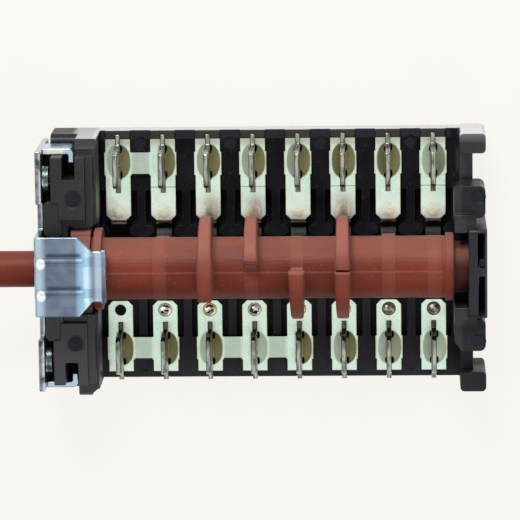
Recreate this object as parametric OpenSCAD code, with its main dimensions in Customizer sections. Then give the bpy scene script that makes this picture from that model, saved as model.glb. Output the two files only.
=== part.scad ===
// Oven selector switch: eight-pole rotary cam switch, seen onto its open contact side.
// +X runs along the spindle towards the rear bearing, +Z is the way the terminal tabs stand.
// The origin is on the spindle axis at the front face of the mounting plate.

/* [Poles] */
// Distance from one pole to the next
pole_pitch = 7.5; // [7.2:0.1:9]
// Distance from the tray's left wall to the first pole
first_pole_gap = 3.0; // [2.8:0.1:5]

/* [Drum] */
// Diameter of the round spindle that takes the knob
spindle_d = 6; // [5:0.1:7]
// Length of the spindle in front of the mounting plate
spindle_l = 22; // [18:0.5:40]
// Length of the flat on the spindle's tip
flat_l = 10; // [6:0.5:10]
// Size across the flat and the round side behind it
flat_d = 4.6; // [4:0.1:5]
// Diameter of both bearing journals
journal_d = 8.4; // [7.2:0.1:8.6]
// Diameter of the barrel between the lobes
barrel_d = 10.2; // [9:0.1:11]
// Diameter over the cam lobes
lobe_d = 17; // [15:0.1:17.6]
// Width of a cam lobe
lobe_w = 2.3; // [1.6:0.1:3]
// Diameter over the detent star
star_d = 13.6; // [13:0.1:14]
// Radius of each notch in the star
notch_r = 1.2; // [1:0.05:1.3]
// Thickness of the collar behind the star
collar_t = 1.35; // [1:0.05:1.6]

/* [Housing] */
// Depth of the housing's back below the spindle axis
back_depth = 15; // [14.6:0.1:18]
// Depth of the ledge that the strips lie on
ledge_depth = 11.3; // [11.2:0.1:12]
// Thickness of the floor under the contact chambers
floor_t = 0.8; // [0.6:0.1:1]
// Distance from the axis to the tray's upper edge
tray_up = 21.4; // [21:0.1:23]
// Distance from the axis to the tray's lower edge
tray_down = 20.6; // [20.5:0.1:22]
// Thickness of the ribs between the chambers
rib_t = 1.5; // [1:0.1:2]
// Thickness of the left wall
left_wall_t = 3.4; // [3:0.1:4]
// Thickness of the rear bearing wall
rear_wall_t = 1.6; // [1.2:0.1:2.4]
// Width of the corner feet at the rear
foot_w = 4.3; // [3.4:0.1:5]
// Height of the corner feet across their face
foot_h = 3.3; // [2:0.1:3.4]

/* [Strips and tabs] */
// Width of a contact strip
strip_w = 4.1; // [3.8:0.1:4.6]
// Thickness of a contact strip
strip_t = 0.8; // [0.6:0.1:0.8]
// Width of a terminal tab
tab_w = 6.3; // [6:0.1:6.4]
// Thickness of a terminal tab
tab_t = 0.8; // [0.6:0.05:0.9]
// Height of a terminal tab above its strip
tab_h = 8; // [7:0.1:10]
// Length of the tab's root in the housing
root_l = 9.8; // [9:0.1:10]
// Diameter of the hole through a tab
tab_hole_d = 1.7; // [1:0.1:2]

/* [Blades] */
// Width of a contact blade
blade_w = 2.5; // [2:0.1:2.7]
// Thickness of a contact blade
blade_t = 0.3; // [0.2:0.05:0.4]
// Clear space between a lobe and a blade at rest
lobe_gap = 0.3; // [0.25:0.05:0.5]
// Diameter of the contact buttons
button_d = 2; // [1.6:0.1:2.3]

/* [Bracket and detent] */
// Thickness of the steel sheet
plate_t = 1; // [0.8:0.1:1]
// Width of the strap over the drum
strap_w = 13.2; // [12:0.1:13.6]
// Width of the strap's tongue
tongue_w = 8.4; // [6:0.1:9]
// Distance between the two fixing holes
fixing_pitch = 30; // [29:0.5:30.5]
// Core diameter of the threaded fixing holes
fixing_d = 3.3; // [2.5:0.1:3.5]
// Wire diameter of the detent springs
wire_d = 0.5; // [0.4:0.05:0.6]
// Outer diameter of the detent springs
spring_d = 3; // [2.8:0.1:3.1]
// Turns of each detent spring
spring_turns = 5; // [4:1:6]

/* [Hidden] */
$fn = 48;
eps = 0.01;
fit = 0.05;
seat = 0.02;
poles = 8;
blade_poles = [2, 3, 4, 5, 6, 7, 8];
strips_up = [[1, 2], [3], [4], [5], [6], [7], [8]];
strips_low = [[1, 2], [3, 4, 5], [6], [7], [8]];
// Lobes as [pole, start angle, end angle], from +Y towards +Z
lobes = [
    [2, 236, 300], [3, -35, 123], [4, -50, 75], [5, 86, 205],
    [6, -40, 84], [6, 86, 215], [7, 240, 302], [8, 238, 292]
];

// Stations along the spindle
box_x = 9.35;
panel_x = 8.1;
left_wall_x = 6.3;
tray_x = left_wall_x + left_wall_t;
first_pole_x = tray_x + first_pole_gap;
last_pole_x = first_pole_x + (poles - 1) * pole_pitch;
slab_x = last_pole_x + 4.3;
rear_wall_x = last_pole_x + 5.6;
rear_x = rear_wall_x + rear_wall_t;
cheek_x = last_pole_x + 3.3;
ear_x = slab_x + 4.1;
ear_y = 13.7;
web_w = 2.2;
rim_l = 1.4;
neck_x = 2 * plate_t;
neck_r = 5.2;
star_x = 5.6;
star_l = 3.35;
collar_x = star_x + star_l + 0.45;
barrel_x = collar_x + collar_t;
barrel_end = last_pole_x + 1.4;
end_collar_x = barrel_end + 0.4;
end_collar_t = 1.4;
end_collar_r = barrel_d / 2 + 0.5;
collar_r = star_d / 2 - 0.05;
detents = 12;
bay_r = star_d / 2 + 0.5;
neck_bay_r = neck_r + 0.4;
neck_bay_x = star_x - 0.4;
lobe_draft = 0.35;

// Heights
back_z = -back_depth;
ledge_z = -ledge_depth;
strip_z = ledge_z + strip_t;
chamber_z = back_z + floor_t;
front_z = 3.4;
step_z = 2.3;
channel_r = spring_d / 2 + 0.2;
foot_z = -2.6;
wall_z = 5.5;
ear_z = 2.8;
ear_t = 8.7;
lug_z0 = -6.5;
lug_l = 6.5;
shoulder_r = 1.4;

// Places across the tray
up_out = tray_up - 1.4;
up_in = tray_up - 15.05;
lip_r = 1;
up_tab_y = tray_up - 5.55;
low_in = 13.2 - tray_down;
low_out = 1.2 - tray_down;
low_tab_y = 5.1 - tray_down;
low_root_y = low_tab_y - 0.4;
rivet_y = 11.65 - tray_down;
rivet_d = 1.9;
rivet_foot_r = rivet_d / 2 + 0.35;
dimple_y = tray_up - 13.6;
chamber_up = tray_up - 10.2;
chamber_down = 6.9 - tray_down;
bore_h = 3;
bulge_l = 3.9;
bulge = 0.2;
bridge_w = 3.6;
corner_cut = 0.8;
relief_r = 0.7;
relief_gap = 2.2;
anvil_y = 4.4;
anvil_w = 4.2;
anvil_h = 1.9;

// Contacts
contact_t = 0.3;
button_h = 0.5;
blade_root_z = ledge_z;
blade_end_z = ledge_z - contact_t - button_h;
hump_z = -(lobe_d / 2 + lobe_gap);
hump_half = up_in - 0.75;

// Bracket
plate_reach = min(tray_up - 1.4, tray_down - 0.6);
strap_t = 0.8;
tongue_in = bay_r - 0.15;
strap_in = tongue_in + 0.5;
strap_out = strap_in + strap_t;
strap_end = barrel_x + 0.15;
hook_t = 0.8;
plate_low = -13;
plate_high = front_z;
fixing_z = 0;
fixing_collar_r = fixing_d / 2 + 0.8;
fixing_collar_l = 1.2;
hook_x = 5.2;
hook_window_y = 15.2;
screw_room_l = 4.2;
hook_drop = 2.4;
box_y = plate_reach - plate_t - seat;

// Detent
plunger_x = star_x + star_l / 2;
plunger_l = 3;
nose_r = notch_r - 0.1;
notch_y = star_d / 2 + 0.5;
plunger_in = bay_r + 0.4;
plunger_body = 2.2;
spring_in = plunger_in + plunger_body;
spring_wall = 0.4;
spring_out = hook_window_y - spring_wall;

function pole_x(i) = first_pole_x + (i - 1) * pole_pitch;

// Stands a (Y, Z) outline up and runs it along X
module along_x(x0, l) {
    translate([x0, 0, 0])
        rotate([90, 0, 90])
            linear_extrude(l)
                children();
}

// Runs an (X, Z) outline along Y
module along_y(y0, l) {
    translate([0, y0 + l, 0])
        rotate([90, 0, 0])
            linear_extrude(l)
                children();
}

// A box given by its low and high corners
module block(low, high) {
    translate(low)
        cube(high - low);
}

// Copies to both sides of the axis
module both_sides() {
    children();
    mirror([0, 1, 0])
        children();
}

// A rectangle with round corners, from its low corner
module round_rect(size, r) {
    translate([r, 0])
        square([size.x - 2 * r, size.y]);
    translate([0, r])
        square([size.x, size.y - 2 * r]);
    for (x = [r, size.x - r], y = [r, size.y - r])
        translate([x, y])
            circle(r);
}

// HOUSING

// Plan of one contact chamber, narrowed by the two anvils that guide the blade
module chamber_plan() {
    difference() {
        translate([-(pole_pitch - rib_t) / 2, chamber_down])
            square([pole_pitch - rib_t, chamber_up - chamber_down]);
        for (side = [-1, 1])
            translate([side * pole_pitch / 2, anvil_y]) {
                square([anvil_w - anvil_h, anvil_h], center = true);
                for (end = [-1, 1])
                    translate([end * (anvil_w - anvil_h) / 2, 0])
                        circle(anvil_h / 2);
            }
    }
}

// Slot for a tab's root
module root_slot(x, y, z) {
    translate([x - tab_t / 2 - seat, y - root_l / 2 - seat, z])
        cube([tab_t + 2 * seat, root_l + 2 * seat, back_depth]);
}

module tray() {
    difference() {
        union() {
            block([left_wall_x, -tray_down, back_z], [slab_x, tray_up, ledge_z]);
            for (i = [1:poles])
                block(
                    [pole_x(i) - strip_w / 2, up_out + seat, ledge_z - eps],
                    [pole_x(i) + strip_w / 2, tray_up, strip_z - 0.2]
                );
        }
        for (i = [1:poles]) {
            translate([pole_x(i), 0, chamber_z])
                linear_extrude(back_depth)
                    chamber_plan();
            root_slot(pole_x(i), up_tab_y, root_bottom_z);
            root_slot(pole_x(i), low_root_y, root_bottom_z);
        }
        for (i = [1:2:poles - 1])
            for (y = [tray_up - 2.3, -tray_down + 2.2])
                translate([pole_x(i) + pole_pitch / 2, y, ledge_z - 0.15])
                    cylinder(r = 1, h = 1);
    }
}

// Left wall with the bay that the star and the collar turn in
module left_wall() {
    difference() {
        along_x(left_wall_x, left_wall_t)
            polygon([
                [-tray_up, back_z], [-tray_up, -0.6], [-tray_up + 0.6, 0],
                [tray_up - 1.4, 0], [tray_up, -1.4], [tray_up, back_z]
            ]);
        translate([0, 0, back_z - eps])
            linear_extrude(2 * back_depth)
                polygon([
                    [left_wall_x + 2.3, -tray_up - 1], [left_wall_x + 2.3, -tray_up + 0.4],
                    [left_wall_x + 3.3, -tray_down + 0.4], [tray_x + 1, -tray_down + 0.2],
                    [tray_x + 1, -tray_up - 1]
                ]);
    }
}

// Front panel of a detent box
module panel_plan() {
    translate([3.7, 8.5])
        square([panel_x - 3.7, box_y - 8.5]);
    translate([2.5, 11.4])
        square([2, box_y - 11.4]);
}

// Rounded column beside the plate, and the small block that joins it to the box
module side_column() {
    translate([0, 0, back_z])
        linear_extrude(front_z - 0.4 - back_z)
            translate([1.3, neck_bay_r + 0.2])
                round_rect([2.9, 11.6 - neck_bay_r - 0.2], 0.7);
    block([3.9, neck_bay_r + 0.2, back_z], [neck_bay_x, 7.8, 1]);
}

// Detent box on the upper side, before the drum's bay is cut
module detent_box() {
    difference() {
        union() {
            block([plate_t, 0, back_z], [left_wall_x + eps, box_y, -channel_r]);
            block([2.5, neck_bay_r, -channel_r - eps], [box_x, box_y, step_z]);
            translate([0, 0, step_z - eps])
                linear_extrude(front_z - step_z + eps)
                    panel_plan();
            side_column();
            // Round-edged block behind the bracket's lug
            along_x(1.8, left_wall_x - 1.8 + eps) {
                translate([box_y - 1, back_z])
                    square([tray_up - box_y + 1 - shoulder_r, lug_z0 - 0.2 - back_z]);
                translate([tray_up - shoulder_r - eps, back_z])
                    square([shoulder_r + eps, lug_z0 - 0.2 - shoulder_r - back_z]);
                translate([tray_up - shoulder_r, lug_z0 - 0.2 - shoulder_r])
                    circle(shoulder_r);
            }
        }
        // Step beside the front panel
        block([panel_x, bay_r - 1, step_z - 0.4], [box_x + eps, box_y + eps, front_z]);
        // Catch for the bracket's hook
        block(
            [hook_x - 0.8, hook_window_y, lug_z0 - 0.2],
            [hook_x + plate_t + 0.3, box_y + eps, front_z + eps]
        );
        // Gap beside the plate, with room for its threaded collar and the screw
        block([plate_t - eps, 11.9, -5], [2.5, box_y + eps, front_z + eps]);
        translate([plate_t - eps, fixing_pitch / 2, fixing_z])
            rotate([0, 90, 0])
                cylinder(r = fixing_collar_r + 0.2, h = screw_room_l - plate_t);
        // Round ejector mark
        translate([6.15, 12, front_z - 0.15])
            cylinder(r = 1.45, h = 1);
    }
}

// Foot at a rear corner, with rounded edges
module corner_foot() {
    translate([slab_x, tray_up + 0.2 - foot_h, back_z])
        linear_extrude(foot_z - back_z)
            round_rect([foot_w, foot_h], 0.7);
}

// Ear beside the rear bearing, with a round ejector mark, and the web that carries it
module rear_ear() {
    difference() {
        translate([0, 0, ear_z - ear_t])
            linear_extrude(ear_t)
                union() {
                    polygon([
                        [cheek_x, 8.4], [cheek_x, ear_y - 1.5], [cheek_x + 1.2, ear_y],
                        [ear_x - 1, ear_y], [ear_x - 1, 8.4]
                    ]);
                    translate([ear_x - 3, 8.4])
                        round_rect([3, ear_y - 8.4], 1);
                }
        translate([ear_x - 1.2, 12, ear_z - 0.15])
            cylinder(r = 1.1, h = 1);
    }
    block([cheek_x, 8.4, back_z], [slab_x + web_w, ear_y - 1.5, ear_z - ear_t + eps]);
    block([slab_x, 8.4, back_z], [slab_x + web_w, tray_up - foot_h + 0.3, -6]);
}

// Rear bearing wall with its pocketed outer rim, cheeks, ears, webs and feet
module rear_end() {
    difference() {
        union() {
            along_x(rear_wall_x, rear_wall_t + rim_l)
                union() {
                    translate([-7.8, back_z])
                        square([14.8, wall_z - 0.8 - back_z]);
                    translate([-7.8, wall_z - 3])
                        round_rect([14.8, 3], 0.7);
                }
            block([slab_x - eps, -tray_down, back_z], [slab_x + web_w, tray_up, ledge_z]);
            both_sides() {
                block([cheek_x, bay_r - 1.1, back_z], [rear_x - 0.3, 9.2, wall_z - 1.2]);
                rear_ear();
                corner_foot();
            }
        }
        // Bearing of the rear journal
        translate([last_pole_x, 0, 0])
            rotate([0, 90, 0])
                cylinder(r = journal_d / 2 + fit, h = rear_x);
        // Pockets inside the outer rim
        block([rear_x, 0.5, back_z + 2.5], [rear_x + rim_l - 0.4, 6.2, wall_z + 1]);
        block([rear_x, -7.2, back_z + 2.5], [rear_x + rim_l - 0.4, -0.8, wall_z + 1]);
    }
}

module housing() {
    color([0.1, 0.1, 0.12])
        difference() {
            union() {
                tray();
                left_wall();
                both_sides()
                    detent_box();
                rear_end();
            }
            // Bay of the neck, then of the star and the front collar, open to the contact side
            for (bay = [[plate_t - eps, neck_bay_x, neck_bay_r], [neck_bay_x - eps, tray_x + eps, bay_r]])
                along_x(bay[0], bay[1] - bay[0]) {
                    circle(bay[2]);
                    translate([-bay[2], 0])
                        square([2 * bay[2], front_z + 1]);
                }
            // Channels of the plungers and their springs
            block(
                [plunger_x - channel_r, -spring_out, -channel_r],
                [plunger_x + channel_r, spring_out, channel_r]
            );
        }
}

// DRUM

// Half outline of the turned form, as (radius, station) pairs
module drum_profile() {
    polygon([
        [0, -spindle_l], [spindle_d / 2 - 0.4, -spindle_l], [spindle_d / 2, -spindle_l + 0.4],
        [spindle_d / 2, 0], [journal_d / 2, 0], [journal_d / 2, neck_x],
        [neck_r, neck_x], [neck_r, star_x], [star_d / 2, star_x],
        [star_d / 2, star_x + star_l], [neck_r, star_x + star_l],
        [neck_r, collar_x], [collar_r, collar_x], [collar_r, barrel_x],
        [barrel_d / 2, barrel_x], [barrel_d / 2, end_collar_x],
        [end_collar_r, end_collar_x], [end_collar_r, end_collar_x + end_collar_t],
        [journal_d / 2, end_collar_x + end_collar_t], [journal_d / 2, rear_x - 0.5],
        [journal_d / 2 - 0.4, rear_x - 0.1], [0, rear_x - 0.1]
    ]);
}

// Ring sector of a cam lobe in the (Y, Z) plane
module lobe_plan(from, to) {
    reach = lobe_d;
    steps = ceil((to - from) / 30);
    intersection() {
        circle(lobe_d / 2);
        polygon(concat(
            [[0, 0]],
            [for (k = [0:steps]) let (a = from + (to - from) * k / steps) reach * [cos(a), sin(a)]]
        ));
    }
}

// Width of a lobe across Y: widest at the mould's parting plane
module lobe_draft_plan() {
    mid = lobe_w / 2 + lobe_draft / 2;
    tip = lobe_w / 2 - lobe_draft / 2;
    polygon([
        [-tip, -lobe_d / 2], [tip, -lobe_d / 2], [mid, 0],
        [tip, lobe_d / 2], [-tip, lobe_d / 2], [-mid, 0]
    ]);
}

module cam_drum() {
    color([0.55, 0.25, 0.19])
        difference() {
            union() {
                rotate([90, 0, 90])
                    rotate_extrude()
                        drum_profile();
                for (lobe = lobes)
                    intersection() {
                        along_x(pole_x(lobe[0]) - lobe_w, 2 * lobe_w)
                            lobe_plan(lobe[1], lobe[2]);
                        translate([pole_x(lobe[0]), 0, -lobe_d])
                            linear_extrude(2 * lobe_d)
                                lobe_draft_plan();
                    }
                for (i = blade_poles)
                    along_x(pole_x(i) - 0.95, 1.9)
                        circle(barrel_d / 2 + 0.06);
            }
            // Notches of the detent star
            for (k = [0:detents - 1])
                rotate([k * 360 / detents, 0, 0])
                    along_x(star_x - eps, star_l + 0.2)
                        translate([notch_y, 0])
                            circle(notch_r);
            // Flat for the knob
            block(
                [-spindle_l - eps, -spindle_d, flat_d - spindle_d / 2],
                [-spindle_l + flat_l, spindle_d, spindle_d]
            );
        }
}

// STRIPS

// Slot and relief holes that hold a tab, open at the strip's outer end
module tab_slot(y, out, root) {
    low = min(out, root);
    high = max(out, root);
    translate([-tab_t / 2 - seat, low])
        square([tab_t + 2 * seat, high - low]);
    for (side = [-1, 1])
        translate([0, y + side * relief_gap])
            circle(relief_r);
}

// Outline of one pole's strip from its inner to its outer end, inner corners cut
module strip_plan(inner, outer, tab_y) {
    dir = sign(outer - inner);
    half = strip_w / 2;
    polygon([
        [-half + corner_cut, inner], [half - corner_cut, inner],
        [half, inner + dir * corner_cut], [half, outer],
        [-half, outer], [-half, inner + dir * corner_cut]
    ]);
    translate([0, tab_y])
        square([strip_w + 2 * bulge, bulge_l], center = true);
}

// A strip for a group of poles, joined by bridges
module strip_sheet(group, inner, outer, tab_y, root) {
    linear_extrude(strip_t)
        difference() {
            union() {
                for (i = group)
                    translate([pole_x(i), 0])
                        strip_plan(inner, outer, tab_y);
                if (len(group) > 1)
                    translate([pole_x(group[0]), tab_y + 0.1 - bridge_w / 2])
                        square([pole_x(group[len(group) - 1]) - pole_x(group[0]), bridge_w]);
            }
            for (i = group)
                translate([pole_x(i), 0])
                    tab_slot(tab_y, outer + sign(outer), root);
        }
}

// Rounded lip at the contact end of an upper strip
module strip_lip(i) {
    w = strip_w - 2 * corner_cut;
    along_x(pole_x(i) - w / 2, w)
        intersection() {
            translate([up_in, strip_z - lip_r])
                difference() {
                    circle(lip_r);
                    circle(lip_r - strip_t);
                }
            translate([up_in - lip_r, strip_z - lip_r])
                square([lip_r + eps, lip_r]);
        }
}

module upper_strip(group) {
    color([0.76, 0.82, 0.74])
        difference() {
            union() {
                translate([0, 0, ledge_z])
                    strip_sheet(group, up_in, up_out, up_tab_y, up_tab_y - root_l / 2 - seat);
                for (i = group)
                    strip_lip(i);
            }
            for (i = group)
                translate([pole_x(i), dimple_y, ledge_z - 1])
                    cylinder(r = 0.7, h = bore_h);
        }
}

module lower_strip(group) {
    color([0.76, 0.82, 0.74])
        difference() {
            translate([0, 0, ledge_z])
                strip_sheet(group, low_in, low_out, low_tab_y, low_root_y + root_l / 2 + seat);
            for (i = group)
                translate([pole_x(i), rivet_y, ledge_z - 1])
                    cylinder(r = rivet_d / 2, h = bore_h);
        }
}

// TABS

root_bottom_z = ledge_z - 1.7;

// Plug-on tab with its root; shift moves the root along Y against the blade
module tab(x, y, shift) {
    tip = strip_z + tab_h;
    half = tab_w / 2;
    color([0.72, 0.73, 0.75])
        difference() {
            along_x(x - tab_t / 2, tab_t)
                polygon([
                    [y + shift - root_l / 2, root_bottom_z], [y + shift + root_l / 2, root_bottom_z],
                    [y + shift + root_l / 2, strip_z + 0.2], [y + half, strip_z + 0.2],
                    [y + half, tip - 1.2], [y + half - 0.55, tip],
                    [y - half + 0.55, tip], [y - half, tip - 1.2],
                    [y - half, strip_z + 0.2], [y + shift - root_l / 2, strip_z + 0.2]
                ]);
            translate([x - tab_t, y, tip - 3.9])
                rotate([0, 90, 0])
                    cylinder(d = tab_hole_d, h = 2 * tab_t);
        }
}

// BLADES AND CONTACTS

// Height of a blade's top side along Y: a hump under the drum, falling to the contact end
function blade_base(y) =
    let (run = (y - rivet_y - 2) / (dimple_y - rivet_y - 4))
    blade_root_z + (blade_end_z - blade_root_z) * min(max(run, 0), 1);
function blade_top(y) =
    let (swell = abs(y) < hump_half ? (1 + cos(180 * y / hump_half)) / 2 : 0)
    blade_base(y) + (hump_z - blade_base(0)) * swell;

module contact_blade(i) {
    start = rivet_y - 1.5;
    end = dimple_y + 1.4;
    steps = 28;
    ys = [for (k = [0:steps]) start + (end - start) * k / steps];
    color([0.5, 0.5, 0.5])
        difference() {
            along_x(pole_x(i) - blade_w / 2, blade_w)
                polygon(concat(
                    [for (y = ys) [y, blade_top(y)]],
                    [for (k = [steps:-1:0]) [ys[k], blade_top(ys[k]) - blade_t]]
                ));
            translate([pole_x(i), rivet_y, blade_root_z - 2])
                cylinder(r = rivet_d / 2, h = 4);
        }
}

module contact_button(i) {
    color([0.8, 0.8, 0.8])
        translate([pole_x(i), dimple_y, blade_end_z])
            cylinder(d = button_d, h = button_h);
}

// Fixed contact rivets: the face below each upper strip, the shank and the flat head
module fixed_contacts() {
    color([0.85, 0.85, 0.8])
        for (i = [1:poles])
            translate([pole_x(i), dimple_y, 0])
                rotate_extrude()
                    polygon([
                        [0, ledge_z - contact_t], [button_d / 2, ledge_z - contact_t],
                        [button_d / 2, ledge_z], [0.7 - seat / 2, ledge_z],
                        [0.7 - seat / 2, strip_z], [0.9, strip_z], [0.7, strip_z + 0.15],
                        [0, strip_z + 0.2]
                    ]);
}

// Rivets through the lower strips and the blades, with a dished head
module blade_rivets() {
    shank = rivet_d / 2 - seat;
    color([0.8, 0.78, 0.75])
        for (i = blade_poles)
            translate([pole_x(i), rivet_y, 0])
                rotate_extrude()
                    polygon([
                        [0, blade_root_z - blade_t - 0.5],
                        [rivet_foot_r, blade_root_z - blade_t - 0.5],
                        [rivet_foot_r, blade_root_z - blade_t], [shank, blade_root_z - blade_t],
                        [shank, strip_z - 0.05], [shank - 0.25, strip_z + 0.05],
                        [0.45, strip_z + 0.05], [0.3, strip_z - 0.15], [0, strip_z - 0.2]
                    ]);
}

// BRACKET

module front_bracket() {
    half = strap_w / 2;
    bend = 0.6;
    ramp_x = panel_x - 0.1;
    tongue_x = barrel_x - 1.3;
    color([0.62, 0.68, 0.76])
        difference() {
            union() {
                // Plate, and its taller ends
                block([0, -plate_reach, plate_low], [plate_t, plate_reach, 0]);
                both_sides()
                    block([0, 11.2, -eps], [plate_t, plate_reach, plate_high]);
                // Stem and strap over the drum, stepped down and tapered to its tongue
                intersection() {
                    along_y(-half, strap_w)
                        union() {
                            translate([bend, strap_out - bend])
                                circle(bend);
                            polygon([
                                [0, -1], [plate_t, -1], [plate_t, strap_in],
                                [ramp_x - 0.2, strap_in], [tongue_x - 0.2, tongue_in],
                                [strap_end + eps, tongue_in], [strap_end + eps, tongue_in + strap_t],
                                [tongue_x, tongue_in + strap_t], [ramp_x, strap_out],
                                [bend, strap_out], [bend, strap_out - bend], [0, strap_out - bend]
                            ]);
                        }
                    translate([0, 0, -1])
                        linear_extrude(strap_out + 2)
                            polygon([
                                [0, -half], [ramp_x - 0.8, -half], [tongue_x, -tongue_w / 2],
                                [strap_end + eps, -tongue_w / 2], [strap_end + eps, tongue_w / 2],
                                [tongue_x, tongue_w / 2], [ramp_x - 0.8, half], [0, half]
                            ]);
                }
                // Hook that keeps the drum's collar back
                block(
                    [strap_end, -tongue_w / 2 - 0.2, barrel_d / 2 + 0.4],
                    [strap_end + hook_t, tongue_w / 2 + 0.2, tongue_in + strap_t]
                );
                // Pressed ribs
                for (y = [-2.6, 2.6])
                    translate([1.2, y, strap_out - 0.45])
                        rotate([0, 90, 0]) {
                            cylinder(r = 0.6, h = 6.6);
                            sphere(r = 0.6);
                            translate([0, 0, 6.6])
                                sphere(r = 0.6);
                        }
                both_sides() {
                    // Clamping lug and its hooked end
                    block([0, plate_reach - plate_t, lug_z0], [hook_x, plate_reach, lug_z0 + lug_l]);
                    translate([hook_x, plate_reach - plate_t, lug_z0])
                        intersection() {
                            cylinder(r = plate_t, h = lug_l);
                            cube([plate_t, plate_t, lug_l]);
                        }
                    block(
                        [hook_x, plate_reach - hook_drop, lug_z0],
                        [hook_x + plate_t, plate_reach - plate_t, lug_z0 + lug_l]
                    );
                    // Threaded collar
                    translate([0, fixing_pitch / 2, fixing_z])
                        rotate([0, 90, 0])
                            cylinder(r = fixing_collar_r, h = plate_t + fixing_collar_l);
                }
            }
            // Bearing of the front journal
            translate([-1, 0, 0])
                rotate([0, 90, 0])
                    cylinder(r = journal_d / 2 + fit, h = 4);
            both_sides()
                translate([-1, fixing_pitch / 2, fixing_z])
                    rotate([0, 90, 0])
                        cylinder(d = fixing_d, h = 8);
        }
}

// DETENT

// Plunger on the upper side, with its round nose in a notch of the star
module detent_plunger() {
    color([0.2, 0.2, 0.22]) {
        along_x(plunger_x - plunger_l / 2, plunger_l)
            union() {
                translate([notch_y, 0])
                    circle(nose_r);
                translate([notch_y, -nose_r])
                    square([plunger_in - notch_y + eps, 2 * nose_r]);
                translate([plunger_in, -channel_r + 0.1])
                    square([plunger_body, 2 * channel_r - 0.2]);
            }
        translate([plunger_x, spring_in - eps, 0])
            rotate([-90, 0, 0])
                cylinder(d = spring_d - 2 * wire_d - 0.5, h = 2);
    }
}

// Closed tube swept along a helix, with a flat first and last turn
module detent_spring() {
    sides = 6;
    per_turn = 16;
    turns = spring_turns + 1.5;
    steps = turns * per_turn;
    coil_r = (spring_d - wire_d) / 2;
    wire_r = wire_d / 2;
    low = spring_in + wire_r;
    high = spring_out - wire_r;
    rise = function (t)
        let (dead = 0.75, u = min(max((t - dead) / (turns - 2 * dead), 0), 1))
        low + (high - low) * u;
    pts = [
        for (k = [0:steps], s = [0:sides - 1])
            let (
                t = k / per_turn,
                a = 360 * t,
                b = 360 * s / sides,
                r = coil_r + wire_r * cos(b)
            )
            [plunger_x + r * cos(a), rise(t) + wire_r * sin(b), r * sin(a)]
    ];
    ring = function (k) [for (s = [0:sides - 1]) k * sides + s];
    faces = concat(
        [ring(0)],
        [
            for (k = [0:steps - 1], s = [0:sides - 1])
                let (n = (s + 1) % sides)
                [k * sides + s, (k + 1) * sides + s, (k + 1) * sides + n, k * sides + n]
        ],
        [[for (s = [sides - 1:-1:0]) steps * sides + s]]
    );
    color([0.7, 0.72, 0.72])
        polyhedron(points = pts, faces = faces, convexity = 8);
}

housing();
front_bracket();
cam_drum();
for (group = strips_up) {
    name = len(group) > 1 ? "upper_strip_12" : str("upper_strip_", group[0]);
    upper_strip(group);
}
for (group = strips_low) {
    name = group[0] == 1 ? "lower_strip_12" : group[0] == 3 ? "lower_strip_345"
        : str("lower_strip_", group[0]);
    lower_strip(group);
}
for (i = [1:poles]) {
    tab(pole_x(i), up_tab_y, 0);
    tab(pole_x(i), low_tab_y, low_root_y - low_tab_y);
}
for (i = blade_poles) {
    contact_blade(i);
    contact_button(i);
}
fixed_contacts();
blade_rivets();
detent_plunger();  // detent_plunger_upper
mirror([0, 1, 0]) detent_plunger();  // detent_plunger_lower
detent_spring();  // detent_spring_upper
mirror([0, 1, 0]) detent_spring();  // detent_spring_lower
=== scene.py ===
"""Oven selector switch: finishes and fine detail around the CAD frame, laid out as an add-on."""

from math import cos, pi, radians, sin, tan

import bmesh
import bpy
from bpy.props import FloatProperty, FloatVectorProperty, IntProperty, PointerProperty
from mathutils import Matrix, Vector


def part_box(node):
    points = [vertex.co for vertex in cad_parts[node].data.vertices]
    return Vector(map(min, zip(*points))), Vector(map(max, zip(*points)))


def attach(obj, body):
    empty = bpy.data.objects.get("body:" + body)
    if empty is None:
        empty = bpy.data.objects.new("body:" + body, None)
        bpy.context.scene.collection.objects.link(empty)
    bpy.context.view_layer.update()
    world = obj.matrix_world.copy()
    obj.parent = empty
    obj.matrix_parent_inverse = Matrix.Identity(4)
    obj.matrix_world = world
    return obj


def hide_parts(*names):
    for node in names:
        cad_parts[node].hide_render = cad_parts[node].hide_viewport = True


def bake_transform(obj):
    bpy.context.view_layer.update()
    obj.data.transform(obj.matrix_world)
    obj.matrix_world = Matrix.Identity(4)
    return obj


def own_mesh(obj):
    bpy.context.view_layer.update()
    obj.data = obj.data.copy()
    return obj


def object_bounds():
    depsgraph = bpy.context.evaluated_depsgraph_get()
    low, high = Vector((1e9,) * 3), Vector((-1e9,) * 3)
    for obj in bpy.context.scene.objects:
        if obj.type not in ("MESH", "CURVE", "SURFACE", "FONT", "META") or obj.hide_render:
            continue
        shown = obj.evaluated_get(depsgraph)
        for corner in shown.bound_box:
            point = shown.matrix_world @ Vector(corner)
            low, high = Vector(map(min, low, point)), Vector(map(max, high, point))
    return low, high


bl_info = {
    "name": "Oven selector switch",
    "version": (1, 0, 0),
    "blender": (4, 5, 0),
    "location": "3D View > Sidebar > Switch",
    "description": "Dresses the CAD solids of an eight-pole oven selector switch",
    "category": "Object",
}

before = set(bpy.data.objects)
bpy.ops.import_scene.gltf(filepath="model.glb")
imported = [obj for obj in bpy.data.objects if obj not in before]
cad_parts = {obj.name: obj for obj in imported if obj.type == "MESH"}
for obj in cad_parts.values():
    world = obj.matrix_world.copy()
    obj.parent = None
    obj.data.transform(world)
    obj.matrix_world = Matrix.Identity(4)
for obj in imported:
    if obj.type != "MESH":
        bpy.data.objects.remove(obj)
CAD_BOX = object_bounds()

MM = 0.001
X, Y, Z = range(3)
ASIDE = 3  # Distance from the middle in Y, for the bands of a piece's parts
BASE = "switch_body"
POLES = range(1, 9)
BLADE_POLES = range(2, 9)
UPPER_STRIPS = ["12", "3", "4", "5", "6", "7", "8"]
LOWER_STRIPS = ["12", "345", "6", "7", "8"]


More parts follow.
